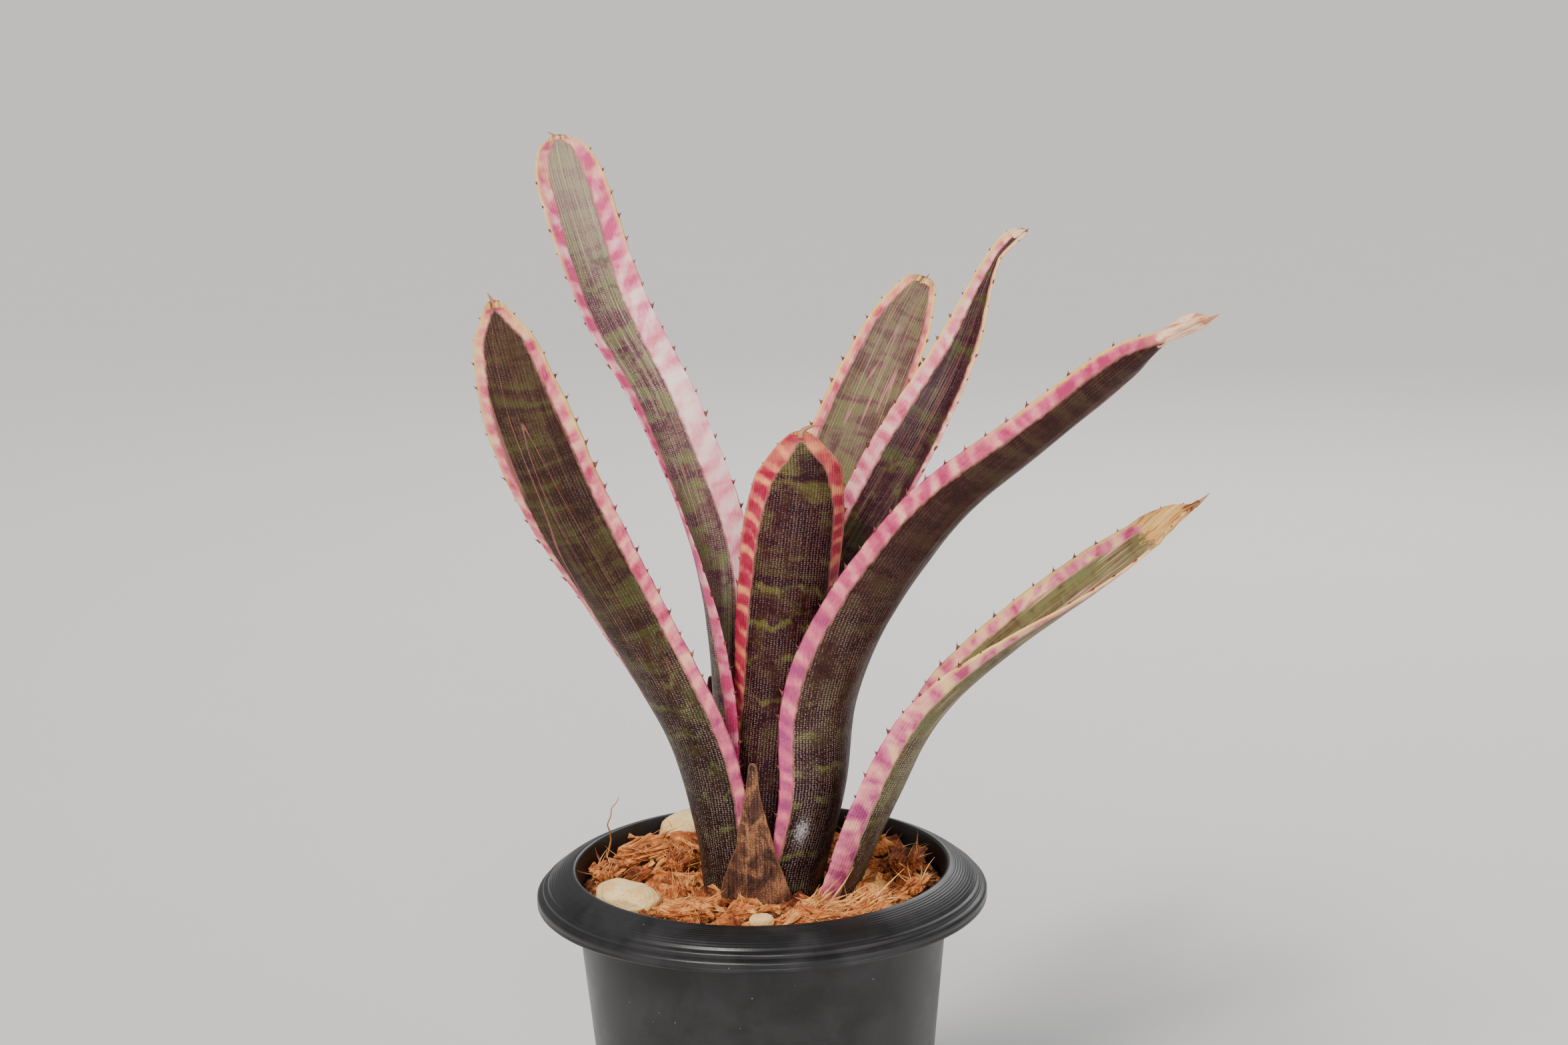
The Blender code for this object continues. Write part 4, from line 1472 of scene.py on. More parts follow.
@dataclass
class HuskLitter:
    """What lies loose on the husk: torn chips, slivers, crumbs and fibres.

    `clearance` keeps a scattered piece off the wall, by a share of its length.
    """

    bed: Bed
    chips: tuple[Chip, ...]
    clearance: float = 0.62
    skin: HuskFinish = field(default_factory=lambda: HuskFinish("torn_husk"))
    strand: FibreFinish = field(default_factory=FibreFinish)

    def scatter_tree(self, sliver: bool) -> Growth:
        """Make the tree that strews slivers or crumbs over a surface, with `local` and `tint`.

        Args:
            sliver: Whether the shape is a sliver instead of a crumb.

        Returns:
            The tree.
        """
        tree = Growth("strewn_slivers" if sliver else "strewn_crumbs", Density=1e5, Length=0.004,
                      Width=1.0, Flatness=0.3, Roughness=0.2, Seed=1)
        if sliver:
            lump = tree.make("GeometryNodeMeshCube", {"Size": (1.0, 1.0, 1.0), "Vertices X": 7,
                                                      "Vertices Y": 4, "Vertices Z": 2})
        else:
            lump = tree.make("GeometryNodeMeshIcoSphere", {"Radius": 0.5, "Subdivisions": 2})
        spot = tree.make("GeometryNodeInputPosition", {})
        x, y, z = tree.split(spot)
        squashed = tree.vector(x, y * tree.given("Width"), z * tree.given("Flatness"))
        jitter = tree.make("ShaderNodeTexNoise", {"Vector": spot, "Scale": 3.1, "Detail": 1.0}, 1)
        offset = tree.reckon("SUBTRACT", {0: jitter, 1: (0.5, 0.5, 0.5)})
        offset = tree.reckon("SCALE", {0: offset, 3: tree.given("Roughness")})
        shaped = tree.make("GeometryNodeSetPosition", {"Geometry": lump, "Position": squashed,
                                                       "Offset": offset})
        local = tree.reckon("SCALE", {0: spot, 3: tree.given("Length") * (1 / MM)})
        shaped = tree.store(shaped, "local", local, "FLOAT_VECTOR", "POINT")
        turn = tree.along_grain((55, 34, 180) if sliver else (180, 180, 180), 3)
        size = tree.given("Length") * tree.random(0.45, 1.15, 5)
        laid = tree.laid(tree.sown(self.clearance), shaped, turn,
                         tree.vector(size, size * tree.random(0.7, 1.2, 7), size))
        return tree.finish(tree.store(laid, "tint", tree.random(0.0, 1.0, 9), "FLOAT",
                                      "INSTANCE"), smooth=False)

    def fibre_tree(self) -> Growth:
        """Make the tree that strews curved fibres over a surface, roughly along its grain.

        Returns:
            The tree.
        """
        tree = Growth("strewn_fibres", Density=1e5, Length=0.006, Radius=0.0001, Bend=0.2,
                      Stray=1.0, Tint_Low=0.0, Seed=1)
        arc = tree.make("GeometryNodeCurveQuadraticBezier", {
            "Resolution": 7, "Start": (0.0, 0.0, 0.0), "End": (1.0, -0.05, 0.02),
            "Middle": tree.vector(0.55, 0.06, tree.given("Bend"))})
        ring = tree.make("GeometryNodeCurvePrimitiveCircle", {
            "Resolution": 5, "Radius": tree.given("Radius") / tree.given("Length")})
        taper = tree.span(tree.make("GeometryNodeSplineParameter", {}), 0.2, 1.0, 1.0, 0.15)
        arc = tree.make("GeometryNodeSetCurveRadius", {"Curve": arc, "Radius": taper})
        strand = tree.make("GeometryNodeCurveToMesh", {"Curve": arc, "Profile Curve": ring,
                                                       "Fill Caps": True, "Scale": taper})
        stray = tree.make("FunctionNodeCompare", {0: tree.random(0.0, 1.0, 6),
                                                  1: tree.given("Stray")},
                          data_type="FLOAT", operation="LESS_THAN")
        turn = tree.make("GeometryNodeSwitch", {0: stray, 1: tree.along_grain((70, 32, 60), 3),
                                                2: tree.random_turn((180, 40, 180), 4)},
                         input_type="ROTATION")
        size = tree.given("Length") * tree.random(0.35, 1.25, 5)
        laid = tree.laid(tree.sown(self.clearance), strand, turn, size)
        tint = tree.random(tree.given("Tint Low"), 1.0, 9)
        return tree.finish(tree.store(laid, "tint", tint, "FLOAT", "INSTANCE"))

    def tuft_ground(self) -> Thing:
        """Make the small patch at the front right from which a bundle of stiff fibres stands.

        Returns:
            The patch.
        """
        x, y = np.meshgrid(np.linspace(8.0, 24.0, 9), np.linspace(-26.0, -16.0, 7), indexing="ij")
        points = np.stack([x, y, self.bed.height(x, y) + 2.2], -1).reshape(-1, 3)
        faces = [(i * 7 + j, (i + 1) * 7 + j, (i + 1) * 7 + j + 1, i * 7 + j + 1)
                 for i in range(8) for j in range(6)]
        thing = new_object("tuft_ground", points, faces)
        mark(thing, inset=self.bed.edge - np.hypot(points[:, 0], points[:, 1]),
             loose=np.ones(len(points)), grain=np.tile((0.88, -0.12, 0.42), (len(points), 1)))
        return thing

    def riser(self) -> Thing:
        """Make the long curled fibre that stands up at the back left.

        Returns:
            The fibre.
        """
        knots = np.array([0.0, 4.0, 7.0, 10.0, 13.0, 15.5])
        ways = np.array([(-35.5, 18.0, 80.5), (-34.8, 17.0, 85.0), (-34.6, 15.0, 88.5),
                         (-34.0, 13.5, 92.0), (-32.9, 11.5, 95.2), (-31.8, 10.0, 97.6)])
        where = np.linspace(0, knots[-1], 40)
        path = spline(knots, ways, where)
        path[:, 0] += 0.5 * ripple(where * 0.5, 0.0, 77)
        points, faces = tube(path, np.linspace(0.26, 0.07, len(path)), 8)
        thing = new_object("riser_fibre", points, faces)
        mark(thing, tint=np.full(len(points), 0.25))
        return thing

    def build(self) -> None:
        skin, strand = self.skin.material(), self.strand.material()
        slabs = [chip.build(skin, self.bed.edge) for chip in self.chips]
        ground = self.bed.surface("husk_ground")
        flat = self.scatter_tree(True)
        for name, density, length, width, seed in (("husk_flakes", 4.5e4, 0.0095, 0.55, 4),
                                                   ("husk_slivers", 6.5e4, 0.0060, 0.34, 8)):
            settle(flat.grow(ground, name, Density=density, Length=length, Width=width,
                             Flatness=0.10, Roughness=0.26, Seed=seed, Material=skin), Slot.CHIP)
        settle(self.scatter_tree(False).grow(
            ground, "husk_crumbs", Density=1.6e5, Length=0.0016, Flatness=0.5, Roughness=0.7,
            Seed=11, Material=skin), Slot.CHIP)
        fibres = self.fibre_tree()
        loose = fibres.grow(ground, "loose_fibres", Density=6e4, Length=0.0068, Radius=0.00012,
                            Bend=0.16, Stray=0.55, Seed=21, Material=strand)
        bundle = self.tuft_ground()
        settle(fibres.grow(bundle, "tuft_fibres", Density=6e5, Length=0.0095, Radius=0.00030,
                           Bend=0.03, Stray=0.10, Tint_Low=0.75, Seed=33, Material=strand),
               Slot.CHIP)
        settle(self.riser(), Slot.CHIP, skin=strand)
        settle(loose, Slot.CHIP)
        frays = [fibres.grow(piece, "fray", Density=1.5e5, Length=0.0050, Radius=0.00012,
                             Bend=0.08, Stray=0.16, Seed=60 + chip.number, Material=strand)
                 for chip, piece in zip(self.chips, slabs)]
        settle(join_meshes("frayed_fibres", frays), Slot.CHIP)
        for used in (bundle, ground):
            bpy.data.objects.remove(used)


@dataclass(frozen=True)
class Pebble:
    """One water-worn pebble, a little lopsided."""

    name: str
    length: float
    width: float
    thick: float
    heading: float
    tilt: float
    sink: float
    seed: int

    def build(self, skin: Material) -> None:
        """Make, place and dress the pebble where the part's own pebble lies.

        Args:
            skin: The stone's material.
        """
        work = bmesh.new()
        bmesh.ops.create_icosphere(work, subdivisions=5, radius=1.0)
        ball = np.array([v.co for v in work.verts])
        work.verts.index_update()
        faces = [tuple(v.index for v in face.verts) for face in work.faces]
        work.free()
        boxy = np.sign(ball) * np.abs(ball) ** 0.82
        boxy = boxy / np.abs(boxy).max(axis=0)
        x, y, z = ball.T
        swell = (0.93 + 0.085 * ripple(x * 1.3 + z * 0.7, y * 1.3 - z * 0.6, self.seed)
                 + 0.035 * ripple(x * 3.3 - z * 2.1, y * 3.1 + z * 2.4, self.seed + 1)
                 + 0.012 * ripple(x * 8 + z * 5, y * 8 - z * 6, self.seed + 2))
        points = boxy * swell[:, None] * np.array((self.length, self.width, self.thick)) / 2
        placed = lay_down(points, self.name, self.heading, self.tilt, self.sink)
        settle(new_object(self.name + "_stone", placed, faces), Slot.PEBBLE, self.name, skin=skin)


# ---------------------------------------------------------------------------------------- plant
ROOT = -8.7


def sheath(radius: float, height: float, wrap: float, roll: float = 0.0,
           drift: float = 0.0) -> tuple[float, ...]:
    """Return a station low on a leaf, which wraps round the plant by `wrap` degrees each way."""
    return (radius, drift, height, radius * radians(wrap), wrap, roll)


def sweep(axis: Array, amount: Array) -> Array:
    """Return each row's direction times an amount for each row and column."""
    return axis[:, None, :] * amount[:, :, None]


@dataclass
class Blade:
    """A cupped, tapering blade through stations, in the part's own form.

    A station is (outward, sideways, height above the husk, half width, cupping, roll), with the
    last two in degrees, and `level` is the husk's height. A margin is the coloured band's width
    by share of the length.
    """

    name: str
    direction: float
    stations: tuple[tuple[float, ...], ...]
    level: float = 0.0
    low_margin: Pairs = ((0.0, 2.0), (1.0, 2.0))
    high_margin: Pairs = ((0.0, 2.0), (1.0, 2.0))
    thickness: float = 1.0
    edge_share: float = 0.45
    rows: int = 230
    columns: int = 40
    wave: float = 0.16
    crinkle: float = 0.0
    crinkle_length: float = 6.0
    groove: float = 0.0
    seed: int = 1

    def ribs(self) -> tuple[Array, Array]:
        """Work out the stations' places, and how far along the blade each one is.

        Returns:
            The places and the distances.
        """
        turn = radians(self.direction)
        out, side = np.array((cos(turn), sin(turn), 0)), np.array((-sin(turn), cos(turn), 0))
        places = np.array([out * s[0] + side * s[1] + (0, 0, s[2] + self.level)
                           for s in self.stations])
        steps = np.linalg.norm(np.diff(places, axis=0), axis=1)
        return places, np.concatenate([[0.0], np.cumsum(steps)])

    @property
    def length(self) -> float:
        """Return the blade's length along its midrib."""
        return float(self.ribs()[1][-1])

    def frames(self, where: Array) -> tuple[Array, ...]:
        """Work out the blade at distances along it.

        Args:
            where: Distances from the root.

        Returns:
            The midrib, the directions along, across and inward, the half width and the cupping.
        """
        ribs, knots = self.ribs()
        turn = radians(self.direction)
        side = np.array((-sin(turn), cos(turn), 0))
        step = knots[-1] * 0.002
        grow = unit(spline(knots, ribs, np.minimum(where + step, knots[-1]))
                    - spline(knots, ribs, np.maximum(where - step, 0.0)))
        across = unit(side - grow * (grow @ side)[:, None])
        inward = np.cross(grow, across)
        half, cup, roll = np.array(self.stations)[:, 3:].T
        roll = np.radians(spline(knots, roll, where))[:, None]
        across, inward = (across * np.cos(roll) + inward * np.sin(roll),
                          inward * np.cos(roll) - across * np.sin(roll))
        width = np.sqrt(np.maximum(spline(knots, half**2, where), 0.16))
        return (spline(knots, ribs, where), grow, across, inward, width,
                np.radians(spline(knots, cup, where)))

    def wavy(self, where: Array, side: float) -> Array:
        """Return how far one margin waves out of the blade's sheet, `side` picking which."""
        return self.wave * (0.7 * ripple(where * 0.21, side, self.seed)
                            + 0.5 * ripple(where * 0.55, side + 9.0, self.seed))

    def swell(self, s: Array, along: Array, u: Array, fade: Array) -> Array:
        """Work out how far the sheet bulges: broad waves, and crinkles where the tip is dry.

        Args:
            s: Distance from the midrib.
            along: Distance from the root.
            u: Place across the blade from -1 to 1.
            fade: How much of the waves a narrow blade keeps.

        Returns:
            The height of the bulge.
        """
        seed = self.seed
        dry = np.clip(1.25 - (self.length - along) / self.crinkle_length, 0.0, 1.0)
        return (fade * (0.22 * ripple(s * 0.10, along * 0.055, seed + 2)
                        + 0.10 * ripple(s * 0.28, along * 0.10, seed + 3))
                + self.crinkle * dry * (ripple(s * 0.45, along * 0.16, seed + 4)
                                        + 0.5 * ripple(s * 0.9, along * 0.5, seed + 5))
                + 0.35 * self.wave * u**2 * ripple(along * 0.13, np.sign(u) * 5, seed + 6))

    def build_mesh(self) -> Thing:
        """Make the closed blade and store what its skin reads.

        Returns:
            The blade's object.
        """
        where = self.length * (1 - (1 - np.linspace(0, 1, self.rows)) ** 1.18)
        rib, _, across, inward, width, cup = self.frames(where)
        v = np.linspace(-1, 1, self.columns + 1)
        u = (0.62 * v + 0.38 * np.sin(pi * v / 2))[None, :]
        width, cup = width[:, None], cup[:, None]
        lean = np.where(u > 0, self.wavy(where, 0.0)[:, None],
                        -self.wavy(where, 20.0)[:, None]) * np.abs(u) ** 3
        angle, bend = cup * u, width / cup
        face = sweep(inward, np.cos(angle)) - sweep(across, np.sin(angle))
        outward = sweep(across, np.cos(angle)) + sweep(inward, np.sin(angle))
        s = width * u
        along = np.broadcast_to(where[:, None], s.shape)
        fade = np.clip(width / 4.0, 0.0, 1.0)
        middle = (rib[:, None, :] + sweep(across, bend * np.sin(angle))
                  + sweep(inward, bend * (1 - np.cos(angle))) + outward * lean[:, :, None]
                  + face * self.swell(s, along, u, fade)[:, :, None])
        thick = np.minimum(self.thickness, 0.7 * width)
        lip = np.clip((np.abs(u) - 0.955) / 0.045, 0.0, 1.0)
        half = (0.5 * thick * (1 - (1 - self.edge_share) * u**2)
                * np.sqrt(np.maximum(1 - lip**2, 0.0)))
        veins = 0.035 * np.cos(TURN * s / 1.9) * (1 - u**4) * fade
        notch = self.groove * np.exp(-(s / 0.7) ** 2) * fade
        inner = middle + face * (half + veins * (half > 0))[:, :, None]
        outer = middle - face * (half + (veins - notch) * (half > 0))[:, :, None]
        return self.assemble(inner, outer, s, along, u)

    def assemble(self, inner: Array, outer: Array, s: Array, along: Array, u: Array) -> Thing:
        """Join the two faces of the blade along its margins and close its ends.

        Args:
            inner: Points of the upper face by row and column.
            outer: Points of the lower face by row and column.
            s: Distance from the midrib.
            along: Distance from the root.
            u: Place across the blade from -1 to 1, by column.

        Returns:
            The blade's object.
        """
        rows, count = s.shape
        ring = 2 * count - 2
        last = (rows - 1) * ring
        faces = []
        for low in range(0, last, ring):
            faces += band(low, low + ring, ring)
        for start, flip in ((0, -1), (last, 1)):
            cap = [(start, start + 1, start + ring - 1)]
            cap += [(start + i, start + i + 1, start + ring - i - 1, start + ring - i)
                    for i in range(1, count - 2)]
            cap.append((start + count - 2, start + count - 1, start + count))
            faces += [corners[::flip] for corners in cap]

        def spread_out(upper: Array, lower: Array | None = None) -> Array:
            """Lay both faces' values by row and column out in the order of the points."""
            lower = upper if lower is None else lower
            both = np.concatenate([upper, lower[:, -2:0:-1]], axis=1)
            return both.reshape(rows * ring, *both.shape[2:])

        thing = new_object(self.name, spread_out(inner, outer), faces)
        tidy_normals(thing)
        share, half = along[:, 0] / self.length, np.abs(s[:, -1:])
        low = np.interp(share, *zip(*self.low_margin))[:, None]
        high = np.interp(share, *zip(*self.high_margin))[:, None]
        mark(thing,
             blade=spread_out(np.stack([s, along, np.broadcast_to(u, s.shape)], axis=2)),
             rim=spread_out(np.maximum(low - (half + s), high - (half - s))),
             edge=spread_out(half - np.abs(s)), tip=spread_out(self.length - along),
             inner=spread_out(np.ones_like(s), np.zeros_like(s)))
        return thing

    def margins(self, start: float, end: float, sink: float = 0.12) -> Thing:
        """Make lines along both margins, between two shares of the length, for thorns.

        Args:
            start: Where the lines start.
            end: Where they end.
            sink: How far inside the blade they run.

        Returns:
            The lines' object, with what the thorns read.
        """
        where = np.linspace(start * self.length, end * self.length, 160)
        rib, _, across, inward, width, cup = self.frames(where)
        bend = (width / cup)[:, None]
        size = np.interp(where / self.length, (0, 0.15, 0.85, 1.0), (0.55, 1.0, 0.9, 0.5))
        points, outward, edges = [], [], []
        for sign in (-1.0, 1.0):
            angle = (cup * sign)[:, None]
            aim = sign * (across * np.cos(angle) + inward * np.sin(angle))
            base = len(points) * len(where)
            points.append(rib + across * bend * np.sin(angle) + inward * bend * (1 - np.cos(angle))
                          - aim * sink)
            outward.append(aim)
            edges += [(base + i, base + i + 1) for i in range(len(where) - 1)]
        thing = new_object("margin_lines", np.concatenate(points), [], edges=edges)
        mark(thing, outward=np.concatenate(outward), size=np.tile(size, 2))
        return thing


@dataclass
class Thorns:
    """Hooked thorns along leaf margins, and the spine at a leaf's tip."""

    finish: ThornFinish = field(default_factory=ThornFinish)
    gap: float = 5.4
    height: float = 1.05
    base: float = 0.32
    hook: float = 0.7

    def tree(self) -> Growth:
        """Make the tree that sets hooked thorns along lines at an even spacing.

        Returns:
            The tree.
        """
        tree = Growth("margin_thorns", Spacing=0.005, Height=0.001, Base=0.0004, Hook=0.0008,
                      Variation=0.3, Seed=1)
        line = tree.make("GeometryNodeMeshToCurve", {0: tree.given("Geometry")})
        spaced = tree.make("GeometryNodeResampleCurve", {"Curve": line,
                                                         "Length": tree.given("Spacing")},
                           mode="LENGTH")
        cone = tree.make("GeometryNodeMeshCone", {
            "Vertices": 8, "Side Segments": 6, "Fill Segments": 1, "Radius Top": 0.0,
            "Radius Bottom": tree.given("Base"), "Depth": tree.given("Height")})
        x, y, z = tree.split(tree.make("GeometryNodeInputPosition", {}))
        share = z / tree.given("Height")
        hooked = share * share * tree.given("Hook") + x * tree.span(share, 0.0, 0.5, 0.9, 0.0)
        bent = tree.make("GeometryNodeSetPosition", {"Geometry": cone,
                                                     "Offset": tree.vector(hooked, y * -0.35)})
        turn = tree.aligned("X", tree.make("GeometryNodeInputTangent", {}), "Z",
                            Rotation=tree.aligned("Z", tree.stored("outward", "FLOAT_VECTOR")))
        size = tree.stored("size") * tree.random(tree.sum("SUBTRACT", 1.0, tree.given("Variation")),
                                                 tree.given("Variation") + 1.0, 2)
        return tree.finish(tree.laid(spaced, bent, turn, size))

    def spine(self, blade: Blade, length: float, lean: Triple) -> Thing:
        """Make the spine at a blade's tip.

        Args:
            blade: The blade that it ends.
            length: The spine's length.
            lean: How far the point is drawn off the blade's own direction.

        Returns:
            The spine's object.
        """
        root, tip = blade.frames(np.array([blade.length - 1.6, blade.length]))[0]
        steps = np.linspace(0, 1, 14)[:, None]
        path = root + unit(tip - root) * (1.2 + length) * steps + np.array(lean) * steps**2
        radii = (0.34 + 0.10 * length) * np.interp(steps[:, 0], (0, 0.25, 0.7, 1),
                                                   (1.1, 0.9, 0.45, 0.06))
        points, faces = tube(path, radii, 10)
        thing = new_object("tip_spine", points, faces)
        mark(thing, spine=np.ones(len(points)))
        return thing

    def build(self, name: str, leaf: "Leaf", skin: Material, tree: Growth) -> None:
        """Grow, join and dress one leaf's thorns and spine.

        Args:
            name: The piece's name.
            leaf: The leaf.
            skin: The thorns' material.
            tree: The thorns' tree.
        """
        lines = leaf.blade.margins(0.16, 0.975)
        thorns = tree.grow(lines, "thorns", Spacing=self.gap * MM, Height=self.height * MM,
                           Base=self.base * MM, Hook=self.hook * MM, Variation=0.35,
                           Seed=leaf.blade.seed, Material=skin)
        bpy.data.objects.remove(lines)
        spine = self.spine(leaf.blade, leaf.spine_length, leaf.lean)
        spine.data.materials.append(skin)
        settle(join_meshes(name, [spine, thorns]), leaf.slot)


@dataclass
class Leaf:
    """One living leaf: its blade, its skin, its thorns and its end spine."""

    blade: Blade
    finish: LeafFinish
    slot: Slot
    spine_length: float
    lean: Triple

    def build(self, thorns: Thorns, horn: Material, tree: Growth) -> None:
        """Args:
            thorns: What grows the thorns.
            horn: Their material.
            tree: Their tree.
        """
        node = self.blade.name
        self.blade.name = node + "_blade"
        settle(self.blade.build_mesh(), self.slot, node,
               skin=self.finish.material(self.blade.length))
        thorns.build(node + "_thorns", self, horn, tree)


@dataclass
class Stem:
    """The short stem that the leaves clasp, ringed with leaf scars."""

    radius: float = 3.85
    height: float = 12.0
    foot: float = 70.3
    scars: int = 6
    scar_depth: float = 0.14
    sides: int = 64
    finish: StemFinish = field(default_factory=StemFinish)

    def build(self) -> None:
        """Make and dress the stem."""
        turns = np.arange(self.sides) * TURN / self.sides
        rings = []
        for t in np.linspace(0, 1, 40):
            taper = np.interp(t, (0, 0.05, 0.6, 0.9, 1), (0.9, 1, 1, 0.7, 0.25))
            scar = self.scar_depth * abs(sin(pi * t * self.scars)) ** 0.5
            radius = (self.radius + scar) * taper + 0.06 * ripple(turns * 2.5, t * 9, 8)
            rings.append(np.c_[radius * np.cos(turns), radius * np.sin(turns),
                               np.full(self.sides, self.foot + self.height * t)])
        points, faces = stack(rings, (0, 0, self.foot), (0, 0, self.foot + self.height))
        settle(new_object("stem_core", points, faces), Slot.STEM, "stem",
               skin=self.finish.material())


@dataclass
class Plant:
    """The rosette: seven leaves, two dead bracts and the stem."""

    level: float

    def build(self) -> None:
        thorns = Thorns()
        horn, tree = thorns.finish.material(), thorns.tree()
        for leaf in LEAVES:
            leaf.blade.level = self.level
            leaf.build(thorns, horn, tree)
        for bract in BRACTS:
            node, bract.level = bract.name, self.level
            bract.name = node + "_paper"
            paper = BractFinish("paper_" + node, length=bract.length)
            settle(bract.build_mesh(), Slot.DRY, node, skin=paper.material())
        Stem().build()


# --------------------------------------------------------------------------------------- studio
@dataclass(frozen=True)
class Lamp:
    """One soft square light that points at the plant; lengths are metres."""

    name: str
    place: Triple
    size: float
    power: float
    target: Triple = (0.0, 0.0, 0.13)

    def hang(self) -> None:
        """Hang the light."""
        lamp = bpy.data.lights.new(self.name, "AREA")
        lamp.size, lamp.energy = self.size, self.power
        thing = put(self.name, lamp)
        thing.location = self.place
        aim = Vector(self.target) - Vector(self.place)
        thing.rotation_euler = aim.to_track_quat("-Z", "Y").to_euler()


@dataclass
class Studio:
    """The pale floor, the soft lights and the camera.

    The floor's half side is millimetres and the camera's and the lamps' places are metres.
    """

    eye: Triple = (0.0065, -0.6694, 0.3108)
    pitch: float = 12.52
    roll: float = -1.15
    lens: float = 72.54
    sensor: float = 36.0
    floor_half: float = 14000.0
    floor_dull: Triple = (0.745, 0.735, 0.725)
    floor_clear: Triple = (0.75, 0.74, 0.73)
    sun_from: Triple = (-0.42, -0.72, 0.85)
    sun_power: float = 3.5
    sun_spread: float = 18.0
    sun_colour: Triple = (1.0, 0.965, 0.92)
    air: Triple = (0.86, 0.87, 0.89)
    air_power: float = 0.38
    lamps: tuple[Lamp, ...] = (Lamp("fill", (0.75, -0.60, 0.30), 0.5, 2.2),
                               Lamp("back", (0.25, 0.80, 0.60), 0.5, 2.6),
                               Lamp("front", (0.10, -0.95, 0.42), 0.22, 3.0))

    def floor(self) -> None:
        h = self.floor_half
        thing = new_object("studio_floor", [(-h, -h, 0), (h, -h, 0), (h, h, 0), (-h, h, 0)],
                           [(0, 1, 2, 3)], smooth=False)
        mat = Finish("studio_paper")
        tone = mat.span(mat.noise(mat.place(), 0.02), 0.3, 0.7)
        thing.data.materials.append(mat.dress(mat.mix(tone, self.floor_dull, self.floor_clear),
                                              0.85, Specular_IOR_Level=0.1))

    def sun(self) -> None:
        """Light the whole stage evenly from one side."""
        lamp = bpy.data.lights.new("key", "SUN")
        lamp.energy, lamp.angle, lamp.color = (self.sun_power, radians(self.sun_spread),
                                               self.sun_colour)
        put("key", lamp).rotation_euler = (
            -Vector(self.sun_from)).to_track_quat("-Z", "Y").to_euler()

    def sky(self) -> None:
        """Fill the stage with pale, even light from all round."""
        world = bpy.data.worlds.new("studio_air")
        world.use_nodes = True
        light = world.node_tree.nodes["Background"].inputs
        light["Color"].default_value = (*self.air, 1.0)
        light["Strength"].default_value = self.air_power
        bpy.context.scene.world = world

    def camera(self) -> None:
        """Set up the camera."""
        lens = bpy.data.cameras.new("camera")
        lens.lens, lens.sensor_width, lens.sensor_fit = self.lens, self.sensor, "HORIZONTAL"
        thing = put("camera", lens)
        thing.matrix_world = (Matrix.Translation(self.eye)
                              @ Matrix.Rotation(radians(90 - self.pitch), 4, "X")
                              @ Matrix.Rotation(radians(self.roll), 4, "Z"))
        bpy.context.scene.camera = thing

    def build(self) -> None:
        """Set up floor, lights, world and camera."""
        self.floor()
        self.sun()
        for lamp in self.lamps:
            lamp.hang()
        self.sky()
        self.camera()


